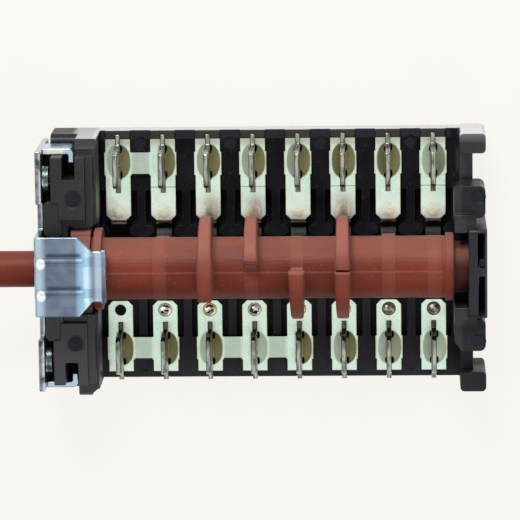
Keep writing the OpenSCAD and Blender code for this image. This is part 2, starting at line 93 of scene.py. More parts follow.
def middle(node):
    """Centre of a CAD node's box."""
    low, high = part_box(node)
    return (low + high) / 2


POLE_X = {i: middle(f"upper_tab_{i}").x for i in POLES}
POLE = {i: x / MM for i, x in POLE_X.items()}
PITCH = POLE_X[2] - POLE_X[1]
STRIP_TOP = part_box("lower_strip_6")[1].z
UPPER_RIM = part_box("housing")[1].y - 0.2 * MM
UPPER_TAB_Y = middle("upper_tab_1").y
LOWER_TAB_Y = middle("lower_tab_1").y + 0.4 * MM
RIVET_Y = middle("blade_rivets").y
DIMPLE_Y = middle("fixed_contacts").y
BARREL_X = (POLE_X[1] - 1.9 * MM, POLE_X[8] + 1.3 * MM)
BARREL_R = 5.1 * MM
END_COLLAR_X = POLE_X[8] + 3.1 * MM
UPPER_EYE_Y = UPPER_TAB_Y + 0.35 * MM
CREASE_Y = UPPER_TAB_Y - 3.95 * MM
HINGE_Y, HINGE_Z = -7.05 * MM, -11.45 * MM


def paint(red, green, blue):
    """Linear colour of a 0 to 255 screen colour."""
    levels = (red, green, blue)
    return tuple(((c / 255 + 0.055) / 1.055) ** 2.4 if c > 10 else c / 3294.6 for c in levels)


# SIZES AND COLOURS THAT A USER MAY CHANGE


def colour(name, about, value):
    return FloatVectorProperty(
        name=name, description=about, default=value, subtype="COLOR", size=3, min=0, max=1
    )


def length(name, about, value):
    return FloatProperty(
        name=name, description=about, default=value, unit="LENGTH", min=0, precision=5
    )


def lean(name, about, degrees):
    return FloatProperty(name=name, description=about, default=radians(degrees), unit="ROTATION")


class SWITCH_PG_finish(bpy.types.PropertyGroup):
    """Colours of the switch's materials."""

    moulding: colour("Moulding", "Black moulding of the tray", paint(36, 36, 41))
    # Painted shade: blue-black laid on the tray's floor, standing in for the shade down in the tray
    moulding_deep_shade: colour("Moulding, deep", "Blue-black floor of the tray", paint(9, 9, 15))
    marks: colour("Ejector marks", "Bluish round marks of the mould's ejectors", paint(19, 23, 34))
    zinc: colour("Zinc", "Zinc plating of the bracket", paint(203, 226, 246))
    # Painted shade: darker zinc laid on the strap's front part
    zinc_shade: colour("Zinc, dull", "Duller zinc on the strap's front part", paint(101, 114, 134))
    thermoset: colour("Thermoset", "Red-brown moulding of the cam drum", paint(128, 56, 41))
    thermoset_dark: colour("Thermoset, dark", "Darker flow marks in the drum", paint(100, 42, 30))
    tin: colour("Tin", "Pale tin plating of the strips", paint(226, 250, 234))
    brass: colour("Brass", "Bare brass at the strips' cut edges", paint(202, 174, 108))
    tarnish: colour("Tarnish", "Olive tarnish in the pressed eyes", paint(128, 125, 86))
    tab: colour("Tab metal", "Plating of the terminal tabs", paint(186, 191, 180))
    blade: colour("Blade bronze", "Dull spring bronze of the blades", paint(36, 36, 33))
    silver: colour("Contact silver", "Silver faces of rivets and buttons", paint(226, 224, 214))
    plunger: colour("Plunger", "Dark plastic of the detent plungers", paint(74, 72, 72))
    wire: colour("Spring wire", "Drawn steel wire", paint(186, 190, 192))


class SWITCH_PG_sizes(bpy.types.PropertyGroup):
    """Sizes of the fine detail that the CAD solids leave out."""

    moulding_edge: length("Moulding edge", "Width of the broken edges of the tray", 0.16 * MM)
    sheet_edge: length("Sheet edge", "Width of the rounded edges of the bracket", 0.2 * MM)
    drum_edge: length("Drum edge", "Width of the broken edges at the lobes' tips", 0.36 * MM)
    tab_edge: length("Tab edge", "Width of the coined edges of the tabs", 0.1 * MM)
    eye_length: length("Eye length", "Half length of the pressed eye round a tab", 3.0 * MM)
    eye_width: length("Eye width", "Half width of the pressed eye round a tab", 2.15 * MM)
    eye_height: length("Eye height", "Rise of the pressed eye at its tab", 0.2 * MM)
    seam_width: length("Seam width", "Width of the drum's parting line", 0.16 * MM)
    seam_height: length("Seam height", "Height of the drum's parting line", 0.06 * MM)
    wire: length("Wire", "Wire diameter of the detent springs", 0.5 * MM)
    turns: IntProperty(
        name="Turns", description="Working turns of each detent spring", default=5, min=3, max=10
    )


class SWITCH_PG_stage(bpy.types.PropertyGroup):
    """Camera and light."""

    target: FloatVectorProperty(
        name="Target",
        description="Point that the camera looks at",
        default=(0.0363, -0.000133, -0.008),
        subtype="TRANSLATION",
        unit="LENGTH",
        size=3,
    )
    distance: length("Distance", "Distance of the camera from its target", 0.65)
    focal: FloatProperty(
        name="Focal length", description="Focal length in millimetres", default=270.0, min=20
    )
    side: lean("Side angle", "Lean of the view to the right", 1.95)
    tilt: lean("Tilt", "Lean of the view towards the upper row", 9.8)
    roll: lean("Roll", "Turn of the picture about the view", 0.7)
    paper: colour("Paper", "Pale background", paint(255, 252, 247))


SETTINGS = {
    "switch_finish": SWITCH_PG_finish,
    "switch_sizes": SWITCH_PG_sizes,
    "switch_stage": SWITCH_PG_stage,
}


# SHADER HELPERS


class Nodes:
    """A node tree, with short ways to add nodes to it."""

    def __init__(self, tree):
        self.tree = tree

    def feed(self, socket, value):
        """Links a socket to a node's input, or sets it to a constant."""
        if isinstance(value, bpy.types.NodeSocket):
            self.tree.links.new(value, socket)
        elif value is not None:
            socket.default_value = value

    def add(self, kind, inputs=None, **settings):
        """New node with its settings, and its inputs given as constants or as sockets."""
        node = self.tree.nodes.new(kind)
        for key, value in settings.items():
            setattr(node, key, value)
        for key, value in (inputs or {}).items():
            self.feed(node.inputs[key], value)
        return node

    def out(self, kind, inputs=None, **settings):
        """First output of a new node."""
        return self.add(kind, inputs, **settings).outputs[0]

    def math(self, operation, a, b=None, c=None):
        """Value of a sum, product and so on."""
        return self.out("ShaderNodeMath", {0: a, 1: b, 2: c}, operation=operation)

    def mix(self, share, a, b):
        """Colour between a and b."""
        a, b = (v if isinstance(v, bpy.types.NodeSocket) else (*v[:3], 1) for v in (a, b))
        return self.add("ShaderNodeMix", {0: share, 6: a, 7: b}, data_type="RGBA").outputs[2]

    def span(self, value, low, high, to_low=0.0, to_high=1.0):
        """Value brought from one range to another, and held there."""
        ranges = {0: value, 1: low, 2: high, 3: to_low, 4: to_high}
        return self.out("ShaderNodeMapRange", ranges)

    def fade(self, value, low, high):
        """Mask that falls from one to nothing between low and high."""
        return self.span(value, low, high, 1.0, 0.0)

    def texture(self, vector, scale, detail=2.0, rough=0.5):
        """Noise between 0 and 1, about 0.5."""
        inputs = {"Vector": vector, "Scale": scale, "Detail": detail, "Roughness": rough}
        return self.out("ShaderNodeTexNoise", inputs)


def times(base, factor):
    """Colour made lighter or darker."""
    return [c * factor for c in base]


def new_group(name, inputs, outputs, kind="ShaderNodeTree"):
    """Node group with its named sockets; returns its nodes, its inputs and its results."""
    tree = bpy.data.node_groups.new(name, kind)
    for label, sort, value in inputs:
        socket = tree.interface.new_socket(label, in_out="INPUT", socket_type=f"NodeSocket{sort}")
        if value is not None:
            socket.default_value = value
    for label, sort in outputs:
        tree.interface.new_socket(label, in_out="OUTPUT", socket_type=f"NodeSocket{sort}")
    given, result = tree.nodes.new("NodeGroupInput"), tree.nodes.new("NodeGroupOutput")
    return Nodes(tree), given.outputs, result.inputs


def edge_group():
    """Mask of the worn outer edges."""
    own, given, result = new_group(
        "Worn edges",
        [("Vector", "Vector", None), ("Width", "Float", 0.2 * MM), ("Breaks", "Float", 0.5)],
        [("Mask", "Float")],
    )
    soft = own.out("ShaderNodeBevel", {"Radius": given["Width"]}, samples=4)
    hard = own.add("ShaderNodeNewGeometry").outputs["True Normal"]
    facing = own.add("ShaderNodeVectorMath", {0: soft, 1: hard}, operation="DOT_PRODUCT")
    edge = own.span(own.math("SUBTRACT", 1.0, facing.outputs["Value"]), 0.01, 0.16)
    patches = own.span(own.texture(given["Vector"], 900.0, 4.0), 0.38, 0.62)
    kept = own.math("SUBTRACT", 1.0, own.math("MULTIPLY", patches, given["Breaks"]))
    own.feed(result["Mask"], own.math("MULTIPLY", edge, kept))
    return own.tree


def skin_group():
    """Fine moulded or plated skin: slow cloud, fine grain and specks."""
    own, given, result = new_group(
        "Skin",
        [
            ("Vector", "Vector", None),
            ("Cloud size", "Float", 4 * MM),
            ("Grain size", "Float", 0.3 * MM),
        ],
        [("Cloud", "Float"), ("Grain", "Float"), ("Specks", "Float")],
    )
    cloud = own.texture(given["Vector"], own.math("DIVIDE", 1.0, given["Cloud size"]), 4.0, 0.55)
    fine = own.math("DIVIDE", 1.0, given["Grain size"])
    grain = own.texture(given["Vector"], fine, 3.0, 0.6)
    specks = own.texture(given["Vector"], own.math("MULTIPLY", fine, 0.45), 1.0)
    own.feed(result["Cloud"], own.span(cloud, 0.3, 0.7))
    own.feed(result["Grain"], grain)
    own.feed(result["Specks"], own.span(specks, 0.66, 0.74))
    return own.tree


def streak_group():
    """Rolling marks of sheet metal along one axis."""
    own, given, result = new_group(
        "Rolling marks",
        [("Vector", "Vector", None), ("Stretch", "Vector", (2500.0, 250.0, 2500.0))],
        [("Marks", "Float"), ("Scuffs", "Float")],
    )
    inputs = {0: given["Vector"], 1: given["Stretch"]}
    scaled = own.out("ShaderNodeVectorMath", inputs, operation="MULTIPLY")
    own.feed(result["Marks"], own.texture(scaled, 1.0, 4.0, 0.6))
    scuffs = own.texture(scaled, 0.35, 5.0, 0.7)
    own.feed(result["Scuffs"], own.span(scuffs, 0.58, 0.72))
    return own.tree


# Shared groups and materials, by the function that makes them
MADE = {}


def made(kind):
    """What a function makes, made when first used."""
    if kind not in MADE:
        MADE[kind] = kind()
    return MADE[kind]


GROUPS = {"edges": edge_group, "skin": skin_group, "streaks": streak_group}


class Finish(Nodes):
    """A material in the making: its shader, the bands of its parts, and its colour so far."""

    def __init__(self, name, rough, metal=0.0, parts=None):
        self.material = bpy.data.materials.new(name)
        self.material.use_nodes = True
        super().__init__(self.material.node_tree)
        self.shader = self.tree.nodes["Principled BSDF"]
        self.coords = self.add("ShaderNodeTexCoord").outputs
        self.split = {}
        self.parts = parts
        self.shade = None
        self.give("Roughness", rough)
        self.give("Metallic", metal)

    def give(self, label, value):
        """Gives the shader a constant or a socket."""
        self.feed(self.shader.inputs[label], value)

    def use(self, name, **inputs):
        """Places a shared group and returns its outputs."""
        node = self.add("ShaderNodeGroup", node_tree=made(GROUPS[name]))
        self.feed(node.inputs["Vector"], self.coords["Object"])
        for key, value in inputs.items():
            self.feed(node.inputs[key.replace("_", " ").capitalize()], value)
        return node.outputs

    def between(self, mask, at_none, at_full):
        """Value from one bound to the other by a mask."""
        return self.span(mask, 0.0, 1.0, at_none, at_full)

    def both(self, first, *others):
        """Product of masks and shares."""
        for other in others:
            first = self.math("MULTIPLY", first, other)
        return first

    def outside(self, mask):
        return self.math("SUBTRACT", 1.0, mask)

    def noise(self, scale, detail=2.0, stretch=None):
        """Noise in the object's own coordinates, stretched into streaks if asked."""
        vector = self.coords["Object"]
        if stretch:
            vector = self.out("ShaderNodeMapping", {"Vector": vector, "Scale": stretch})
        return self.texture(vector, scale, detail)

    def axes(self, kind):
        """X, Y and Z of one of the object's own coordinates."""
        if kind not in self.split:
            self.split[kind] = self.add("ShaderNodeSeparateXYZ", {0: self.coords[kind]}).outputs
        return self.split[kind]

    def at(self, axis):
        """One coordinate of the shaded point, or with ASIDE its distance from the middle in Y."""
        return self.math("ABSOLUTE", self.at(Y)) if axis == ASIDE else self.axes("Object")[axis]

    def facing(self, axis):
        """One part of the surface's own direction."""
        return self.axes("Normal")[axis]

    def grazing(self):
        """How far the surface is turned from the eye."""
        return self.add("ShaderNodeLayerWeight", {"Blend": 0.5}).outputs["Facing"]

    def beside_pole(self):
        """Distance in X from the middle of the nearest pole, with its sign."""
        from_first = self.math("SUBTRACT", self.at(X), POLE_X[1])
        return self.math("WRAP", from_first, PITCH / 2, -PITCH / 2)

    def spot(self, across, along, inner, outer):
        """Round mask that fades as the sum of two squares goes from inner to outer."""
        squares = [self.math("POWER", value, 2.0) for value in (across, along)]
        return self.fade(self.math("ADD", *squares), inner, outer)

    def part(self, name):
        """Mask of a named part of the piece, inside all its bands."""
        masks = []
        for axis, low, high, soft in self.parts[name]:
            place = self.at(axis)
            masks.append(self.span(place, (low - soft) * MM, (low + soft) * MM))
            masks.append(self.fade(place, (high - soft) * MM, (high + soft) * MM))
        return self.both(*masks)

    def lay(self, colour, *shares):
        """Lays a colour over the one so far, by the product of the shares."""
        self.shade = self.mix(self.both(*shares), self.shade, colour)

    def done(self, rough, height, depth, strength):
        """Gives the shader its colour, roughness and bump, and returns the material."""
        inputs = {"Height": height, "Distance": depth, "Strength": strength}
        bump = self.out("ShaderNodeBump", inputs)
        for label, socket in (("Base Color", self.shade), ("Roughness", rough), ("Normal", bump)):
            self.give(label, socket)
        return self.material


def finishes():
    return bpy.context.scene.switch_finish


def sizes():
    return bpy.context.scene.switch_sizes


# MATERIALS

WHITE = (1.0, 1.0, 1.0)

# Where wear, colour, painted light and painted shade change: parts of each piece as bands of axis,
# low, high and softness, in millimetres. A part lies inside all its bands, and FAR is past either
# end of the switch.
FAR = 1000.0
REAR_FEET = (X, 69.4, FAR, 0.2)
TRAY_PARTS = {
    "plate wall": [(X, -FAR, 9.2, 0.2)],
    "lower foot": [REAR_FEET, (Y, -FAR, -14, 0.5)],
    "upper foot": [REAR_FEET, (Y, UPPER_RIM / MM - 0.5, FAR, 0.9)],
    "ledges": [(Y, 19.9, 21.35, 0.05), (X, POLE[1] - 3, POLE[8] + 3, 0.2)],
    "web": [(X, 69, 71.8, 0.2), (Y, 14.2, 18, 0.5)],
    "bearing bar": [(X, 70.4, 73, 0.2), (Y, -9, 9, 0.5)],
    "ears": [(X, POLE[8] + 4.5, FAR, 0.3), (ASIDE, 8.5, FAR, 0.5), (ASIDE, -FAR, 13.8, 0.4)],
    "pockets": [
        (X, POLE[8] + 7.25, POLE[8] + 8.2, 0.1),
        (Z, -FAR, -9, 1),
        (ASIDE, -FAR, 7.2, 0.2),
    ],
}

STRAP = (Z, 7.2, 9.5, 0.2)
PLATE = (X, -1, 1.2, 0.1)
BRACKET_PARTS = {
    "strap": [STRAP],
    "strap front": [STRAP, (X, 1.5, 7.2, 0.5)],
    "blue band": [STRAP, (X, 7.2, 8.1, 0.6)],
    "bright bend": [STRAP, (X, 8.25, 8.85, 0.2)],
    "shaded bend": [STRAP, (X, 9.1, 9.9, 0.25)],
    "tongue end": [STRAP, (X, 10.95, 14, 0.15)],
    "rib run": [STRAP, (X, 2, 7.7, 0.3)],
    "upper flank": [(Y, 3.3, 3.9, 0.3)],
    "lower flank": [(Y, -2.05, -1.5, 0.3)],
    "upper rib": [(Y, 1.7, 3.3, 0.1)],
    "lower rib": [(Y, -3.5, -1.9, 0.1)],
    "rib ends": [(Z, 5.5, 9.5, 0.3)],
    "upper lug": [(X, 1.5, 4.5, 0.4), (Y, 18.4, FAR, 0.1)],
    "collars": [(X, 1.02, 3.5, 0.02), (Z, -4, 4, 0.5)],
    "plate": [PLATE, (Z, -FAR, 6, 0.5)],
    "plate rim": [PLATE, (Z, -9, 7, 0.2)],
    "dark line": [(X, 0.25, 0.4, 0.14)],
    "bright line": [(X, 0.72, 0.9, 0.14)],
}

DRUM_PARTS = {
    "bands": [(X, POLE[1] + 3, FAR, 1)],
    "journal": [(X, END_COLLAR_X / MM - 0.1, FAR, 0.25)],
    "spindle": [(X, -FAR, 0.5, 0.5)],
}

STRIP_PARTS = {
    "third": [(X, POLE[3] - 2.5, POLE[3] + 2.5, 0.2), (Y, 0, FAR, 1)],
    "inner ends": [(Y, 5, 9.5, 2)],
    "outer ends": [(Y, 18.9, FAR, 0.5)],
    "crease": [(Y, CREASE_Y / MM - 0.07, CREASE_Y / MM + 0.07, 0.05)],
}

TAB_PARTS = {
    "upper inner ends": [(Y, UPPER_TAB_Y / MM - 5, UPPER_TAB_Y / MM - 2.2, 0.5)],
    "lower inner ends": [(Y, LOWER_TAB_Y / MM + 1.2, LOWER_TAB_Y / MM + 5, 0.5)],
}

RIVET_PARTS = {
    "second": [(X, POLE[2] - 2, POLE[2] + 2, 1)],
    "fourth": [(X, POLE[4] - 2, POLE[4] + 2, 1)],
    "last": [(X, POLE[7] - 3, FAR, 1)],
}


def black_moulding():
    """Satin black moulding, a little dusty, paler on broken edges, with painted shade in the tray
    and painted light at its top.
    """
    own = Finish("black_moulding", 0.42, parts=TRAY_PARTS)
    skin = own.use("skin", Cloud_size=6 * MM, Grain_size=0.25 * MM)
    edge = own.use("edges", Width=0.22 * MM, Breaks=0.6)
    # Painted shade: the moulding turns blue-black towards the tray's floor
    deep = own.fade(own.at(Z), -9.5 * MM, -5.0 * MM)
    own.shade = finishes().moulding
    own.lay(finishes().moulding_deep_shade, deep)
    # Painted shade on the wall beside the plate and in the chambers: darker on the window side,
    # paler and bluish on the other
    shaded = own.math("MAXIMUM", own.part("plate wall"), deep)
    side = own.span(own.at(Y), -9 * MM, 9 * MM)
    own.lay((0.004, 0.004, 0.004), shaded, side, 0.42)
    own.lay((0.08, 0.08, 0.094), shaded, own.outside(side), 0.4)
    lower_foot = own.part("lower foot")
    own.lay((0.008, 0.008, 0.01), lower_foot, 0.75)
    own.lay((0.06, 0.06, 0.068), skin["Cloud"], 0.22)
    own.lay((0.25, 0.25, 0.26), skin["Specks"], 0.08)
    own.lay((0.14, 0.14, 0.15), edge["Mask"], 0.3)
    # Ledges behind the upper strips are paler grey, the gaps between them a little bluish
    behind = own.fade(own.math("ABSOLUTE", own.beside_pole()), 1.9 * MM, 2.1 * MM)
    ledge_grey = own.mix(behind, paint(46, 48, 54), paint(66, 66, 60))
    own.lay(ledge_grey, own.part("ledges"), own.span(own.facing(Z), 0.4, 0.8), 0.85)
    # Rear end: the web is paler, the bearing bar darkened with painted shade, and the upper foot
    # pale towards its top with painted light
    own.lay(paint(78, 78, 82), own.part("web"), 0.55)
    own.lay(paint(18, 19, 30), own.part("bearing bar"), 0.75)
    own.lay(paint(150, 152, 154), own.part("upper foot"), 0.5)
    # The ears are darker and duller, the pockets in the rear rim catch dust
    ears = own.part("ears")
    own.lay(paint(20, 23, 29), ears, 0.5)
    own.lay(paint(190, 192, 196), own.part("pockets"))
    # Painted glare: the tray's upper side is painted pale where it is seen along its face
    rim = own.span(own.at(Y), UPPER_RIM - 0.4 * MM, UPPER_RIM - 0.1 * MM)
    beside_plate = own.span(own.at(X), 5.3 * MM, 6.2 * MM, 0.05, 0.56)
    beside_tray = own.span(own.at(X), POLE_X[1] - 4 * MM, POLE_X[1] - 3 * MM, 0.0, 0.3)
    glare = own.both(own.span(own.grazing(), 0.6, 0.82), own.math("ADD", beside_plate, beside_tray))
    own.lay(paint(232, 234, 232), rim, glare)
    dull = own.between(own.math("MAXIMUM", ears, lower_foot), 1.0, 0.55)
    own.give("Specular IOR Level", own.both(own.between(deep, 0.4, 0.06), dull))
    return own.done(own.between(skin["Cloud"], 0.34, 0.48), skin["Grain"], 0.03 * MM, 0.3)


def ejector_mark():
    """Smooth, bluish round left by an ejector."""
    own = Finish("ejector_mark", 0.3)
    own.give("Specular IOR Level", 0.25)
    skin = own.use("skin", Cloud_size=1.5 * MM, Grain_size=0.2 * MM)
    own.shade = finishes().marks
    own.lay(times(finishes().marks, 0.6), skin["Cloud"], 0.5)
    return own.done(own.between(skin["Cloud"], 0.28, 0.4), skin["Grain"], 0.02 * MM, 0.3)


def zinc_steel():
    """Bright zinc with a blue cast, with painted shade on the strap's front part, beside its ribs
    and on the collars, and painted highlights on bends, rib ends and lug.
    """
    own = Finish("zinc_steel", 0.25, 1.0, BRACKET_PARTS)
    skin = own.use("skin", Cloud_size=3.5 * MM, Grain_size=0.2 * MM)
    marks = own.use("streaks", Stretch=(300.0, 2600.0, 2600.0))
    edge = own.use("edges", Width=0.3 * MM, Breaks=0.4)
    front = own.part("strap front")
    own.shade = times(finishes().zinc, 0.8)
    own.lay(finishes().zinc, skin["Cloud"])
    # Painted shade: the strap's front part is darkened as if less light fell on it
    own.lay(finishes().zinc_shade, front, own.between(skin["Cloud"], 0.7, 1.0))
    own.lay((0.42, 0.42, 0.46), marks["Scuffs"], 0.35)
    # Painted reflection: a bright blue band on the ramp past the strap's front part, as if it faced
    # a light
    own.lay(paint(150, 204, 238), own.part("blue band"), 0.7)
    # Bends of the tongue: a painted highlight on one, painted shade on the next, and painted shade
    # on the end, darker towards its lower side
    own.lay(paint(196, 236, 255), own.part("bright bend"), 0.8)
    own.lay(paint(96, 108, 134), own.part("shaded bend"), 0.62)
    fall = own.span(own.at(Y), -3.5 * MM, 3 * MM, 0.9, 0.5)
    own.lay(paint(70, 66, 78), own.part("tongue end"), fall)
    # Painted shade on a flank above each rib, and a painted highlight, a white blob, where each rib
    # meets the bend
    flanks = own.math("ADD", own.part("upper flank"), own.part("lower flank"))
    own.lay(paint(52, 58, 78), own.part("rib run"), flanks, 0.9)
    ribs = own.math("ADD", own.part("upper rib"), own.part("lower rib"))
    ribs = own.both(ribs, own.part("strap"))
    across = own.math("ABSOLUTE", own.math("ADD", own.at(Y), 0.45 * MM))
    across = own.math("DIVIDE", own.math("SUBTRACT", across, 2.65 * MM), MM)
    along = own.math("DIVIDE", own.math("SUBTRACT", own.at(X), 1.1 * MM), 0.8 * MM)
    blobs = own.both(own.spot(across, along, 0.5, 1.1), own.part("rib ends"))
    own.lay(WHITE, blobs)
    # Painted highlight on the upper lug's upward face; it and the rib blobs are made non-metallic
    # so that they show white
    lug = own.both(own.part("upper lug"), own.span(own.facing(Z), 0.2, 0.6))
    own.lay((1.0, 1.0, 0.9), lug, 0.95)
    own.give("Metallic", own.between(own.math("MAXIMUM", blobs, lug), 1.0, 0.1))
    # Painted shade on the collars in the gap beside the plate, broken by noisy greenish painted
    # glints
    inside = own.math("LESS_THAN", own.at(ASIDE), 18.2 * MM)
    green = own.span(own.noise(700.0), 0.45, 0.6)
    green = own.mix(green, (0.02, 0.024, 0.02), paint(150, 160, 140))
    own.lay(green, own.part("collars"), inside, 0.85)
    # The plate is greyed, and its edges towards the contact side are stained
    own.lay(paint(190, 196, 196), own.part("plate"), own.outside(lug), 0.7)
    rim = own.both(own.part("plate rim"), own.outside(lug), own.span(own.facing(Z), 0.3, 0.7))
    own.lay(paint(112, 122, 128), rim, own.span(own.noise(900.0, 4.0), 0.4, 0.62, 0.35, 0.9))
    # Its sheared edge has a dark line and a bright one, the bright one a painted highlight, with
    # dark spots
    own.lay(paint(58, 62, 66), rim, own.part("dark line"), 0.6)
    own.lay(WHITE, rim, own.part("bright line"), 0.75)
    own.lay(paint(52, 54, 58), rim, own.span(own.noise(520.0, 3.0), 0.55, 0.64, 0.0, 0.8))
    own.lay((0.9, 0.9, 0.86), edge["Mask"], own.between(front, 0.5, 0.1))
    rough = own.math("ADD", own.between(skin["Cloud"], 0.2, 0.34), own.both(ribs, 0.4))
    height = own.math("ADD", marks["Marks"], own.both(skin["Grain"], 0.5))
    return own.done(rough, height, 0.02 * MM, 0.35)


def red_thermoset():
    """Red-brown thermoset: clouded, with dark flow marks and pale edges, painted light on its upper
    sides and a painted grey sheen at its outline.
    """
    own = Finish("red_thermoset", 0.36, parts=DRUM_PARTS)
    own.give("Specular IOR Level", 0.13)
    skin = own.use("skin", Cloud_size=6 * MM, Grain_size=0.22 * MM)
    edge = own.use("edges", Width=0.3 * MM, Breaks=0.35)
    flow = own.span(own.noise(1.0, 3.0, (90.0, 260.0, 260.0)), 0.42, 0.68)
    cloud = own.span(own.noise(1.0, 2.0, (75.0, 130.0, 130.0)), 0.42, 0.62)
    base, dark = finishes().thermoset, finishes().thermoset_dark
    own.shade = base
    own.lay(times(base, 1.2), skin["Cloud"], 0.35)
    own.lay(times(dark, 0.9), cloud, 0.55)
    own.lay(dark, flow, 0.5)
    own.lay((0.42, 0.22, 0.17), skin["Specks"], 0.18)
    # The low bands round the barrel, one at each pole
    from_pole = own.math("PINGPONG", own.math("SUBTRACT", own.at(X), POLE_X[1]), PITCH / 2)
    band = own.span(from_pole, 0.6 * MM, 1.2 * MM, 0.16, 0.0)
    own.lay(paint(186, 112, 96), band, own.part("bands"))
    own.lay(paint(190, 122, 106), edge["Mask"], 0.45)
    # Painted light: the lobes' sides that face up in the world are painted paler than the barrel
    way = own.add("ShaderNodeNewGeometry").outputs["Normal"]
    up = own.add("ShaderNodeSeparateXYZ", {0: way}).outputs[Y]
    out = [own.math("POWER", own.at(axis), 2.0) for axis in (Y, Z)]
    lobes = own.span(own.math("ADD", *out), (BARREL_R + 0.2 * MM) ** 2, (BARREL_R + MM) ** 2)
    own.lay(paint(186, 116, 100), own.span(up, -0.1, 0.5), lobes, 0.3)
    # Painted shadow: the rear journal is darkened where it lies in shadow
    own.lay((0.012, 0.006, 0.005), own.part("journal"), 0.75)
    spindle = own.part("spindle")
    own.lay(dark, spindle, 0.25)
    # Painted sheen on the sides that face up in the world, weaker on the spindle
    ranges = {0: up, 1: 0.0, 2: 1.0, 3: 0.0, 4: 0.42}
    upper_sheen = own.out("ShaderNodeMapRange", ranges, interpolation_type="SMOOTHSTEP")
    own.lay(paint(176, 118, 104), upper_sheen, own.between(spindle, 1.0, 0.3))
    # Painted reflection: a grey sheen where the surface turns away from the eye
    own.lay(paint(160, 132, 126), own.span(own.grazing(), 0.72, 0.97, 0.0, 0.6))
    return own.done(own.between(skin["Cloud"], 0.38, 0.52), skin["Grain"], 0.03 * MM, 0.3)


def tinned_brass():
    """Tinned brass: pale plating, brass at the cut edges, olive tarnish in the pressed eyes."""
    own = Finish("tinned_brass", 0.3, 1.0, STRIP_PARTS)
    skin = own.use("skin", Cloud_size=2 * MM, Grain_size=0.18 * MM)
    marks = own.use("streaks", Stretch=(2200.0, 260.0, 2200.0))
    edge = own.use("edges", Width=0.3 * MM, Breaks=0.7)
    tin, brass, tarnish = finishes().tin, finishes().brass, finishes().tarnish
    own.shade = tin
    own.lay(brass, marks["Scuffs"], 0.3)
    own.lay(times(tin, 0.82), skin["Cloud"], 0.35)
    own.lay(paint(172, 176, 140), own.span(skin["Grain"], 0.5, 0.72, 0.0, 0.35))
    own.lay((0.84, 1.0, 0.87), own.part("third"), 0.6)
    own.lay((0.93, 1.0, 0.9), own.part("inner ends"), 0.75)
    own.lay(paint(150, 150, 124), own.part("outer ends"), 0.5)
    # Place beside the nearest tab, along the strip in half lengths of the pressed eye
    beside = own.beside_pole()
    aside = own.math("ABSOLUTE", beside)
    upper = own.math("GREATER_THAN", own.at(Y), 0.0)
    station = own.between(upper, LOWER_TAB_Y, UPPER_EYE_Y)
    along = own.math("ABSOLUTE", own.math("SUBTRACT", own.at(Y), station))
    along = own.math("DIVIDE", along, sizes().eye_length)
    right = own.span(beside, -0.05 * MM, 0.05 * MM)
    wide = sizes().eye_width
    out = own.math("DIVIDE", aside, own.between(right, 0.88 * wide, wide))
    ring = own.math("ADD", own.math("POWER", out, 2.2), own.math("POWER", along, 2.4))
    ring = own.math("ADD", ring, own.both(own.math("SUBTRACT", skin["Grain"], 0.5), 0.25))
    stain = own.add("ShaderNodeAttribute", attribute_name="stain").outputs["Vector"]
    share = own.add("ShaderNodeSeparateXYZ", {0: stain}).outputs
    halves = {0: right, 2: share[0], 3: share[1]}
    half = own.out("ShaderNodeMix", halves, data_type="FLOAT")
    own.lay(paint(120, 128, 104), own.span(aside, 2.1 * MM, 2.5 * MM, 0.0, 0.42))
    seat = own.both(own.span(aside, 0.55 * MM, 0.95 * MM, 0.62, 0.0), own.fade(along, 0.85, 1.0))
    eye = own.math("MAXIMUM", own.both(own.fade(ring, 0.84, 1.02), half), seat)
    olive = own.mix(own.span(out, 0.15, 0.95), times(tarnish, 0.62), times(tarnish, 1.1))
    olive = own.mix(own.between(upper, 0.35, 0.0), olive, (0.03, 0.03, 0.014))
    lip = own.both(share[2], own.span(skin["Grain"], 0.4, 0.6, 0.5, 1.0))
    own.lay(olive, own.math("MAXIMUM", eye, lip))
    # Mottled gold where the contact is pressed through
    from_dimple = own.math("SUBTRACT", own.at(Y), DIMPLE_Y)
    press = own.spot(beside, from_dimple, (0.9 * MM) ** 2, (1.5 * MM) ** 2)
    own.give("Metallic", own.between(press, 1.0, 0.85))
    own.lay(paint(246, 236, 190), press, own.span(own.noise(1500.0, 3.0), 0.44, 0.6, 0.0, 0.9))
    # Brass at the cut edges, and a scored line across each even strip, painted dark as the shade in
    # it
    cut = own.fade(own.math("ABSOLUTE", own.facing(Z)), 0.45, 0.85)
    own.lay(brass, own.math("MAXIMUM", cut, own.both(edge["Mask"], 0.85)))
    from_even = own.math("PINGPONG", own.math("SUBTRACT", own.at(X), POLE_X[2]), PITCH)
    even_pole = own.math("LESS_THAN", from_even, PITCH / 2)
    own.lay(paint(96, 92, 66), own.part("crease"), even_pole, 0.7)
    # Painted shade in the relief holes at both ends of each eye
    hole_x = own.math("SUBTRACT", beside, own.between(upper, 0.56 * MM, 0.5 * MM))
    hole_x = own.math("DIVIDE", hole_x, 0.3 * MM)
    hole_y = own.math("DIVIDE", own.math("SUBTRACT", along, 0.73), 0.22)
    stained = own.math("GREATER_THAN", share[1], 0.05)
    own.lay((0.006, 0.005, 0.003), own.spot(hole_x, hole_y, 0.6, 1.25), stained)
    rough = own.math("ADD", own.between(skin["Cloud"], 0.19, 0.27), own.both(eye, 0.15))
    height = own.math("ADD", marks["Marks"], skin["Grain"])
    return own.done(rough, height, 0.015 * MM, 0.3)


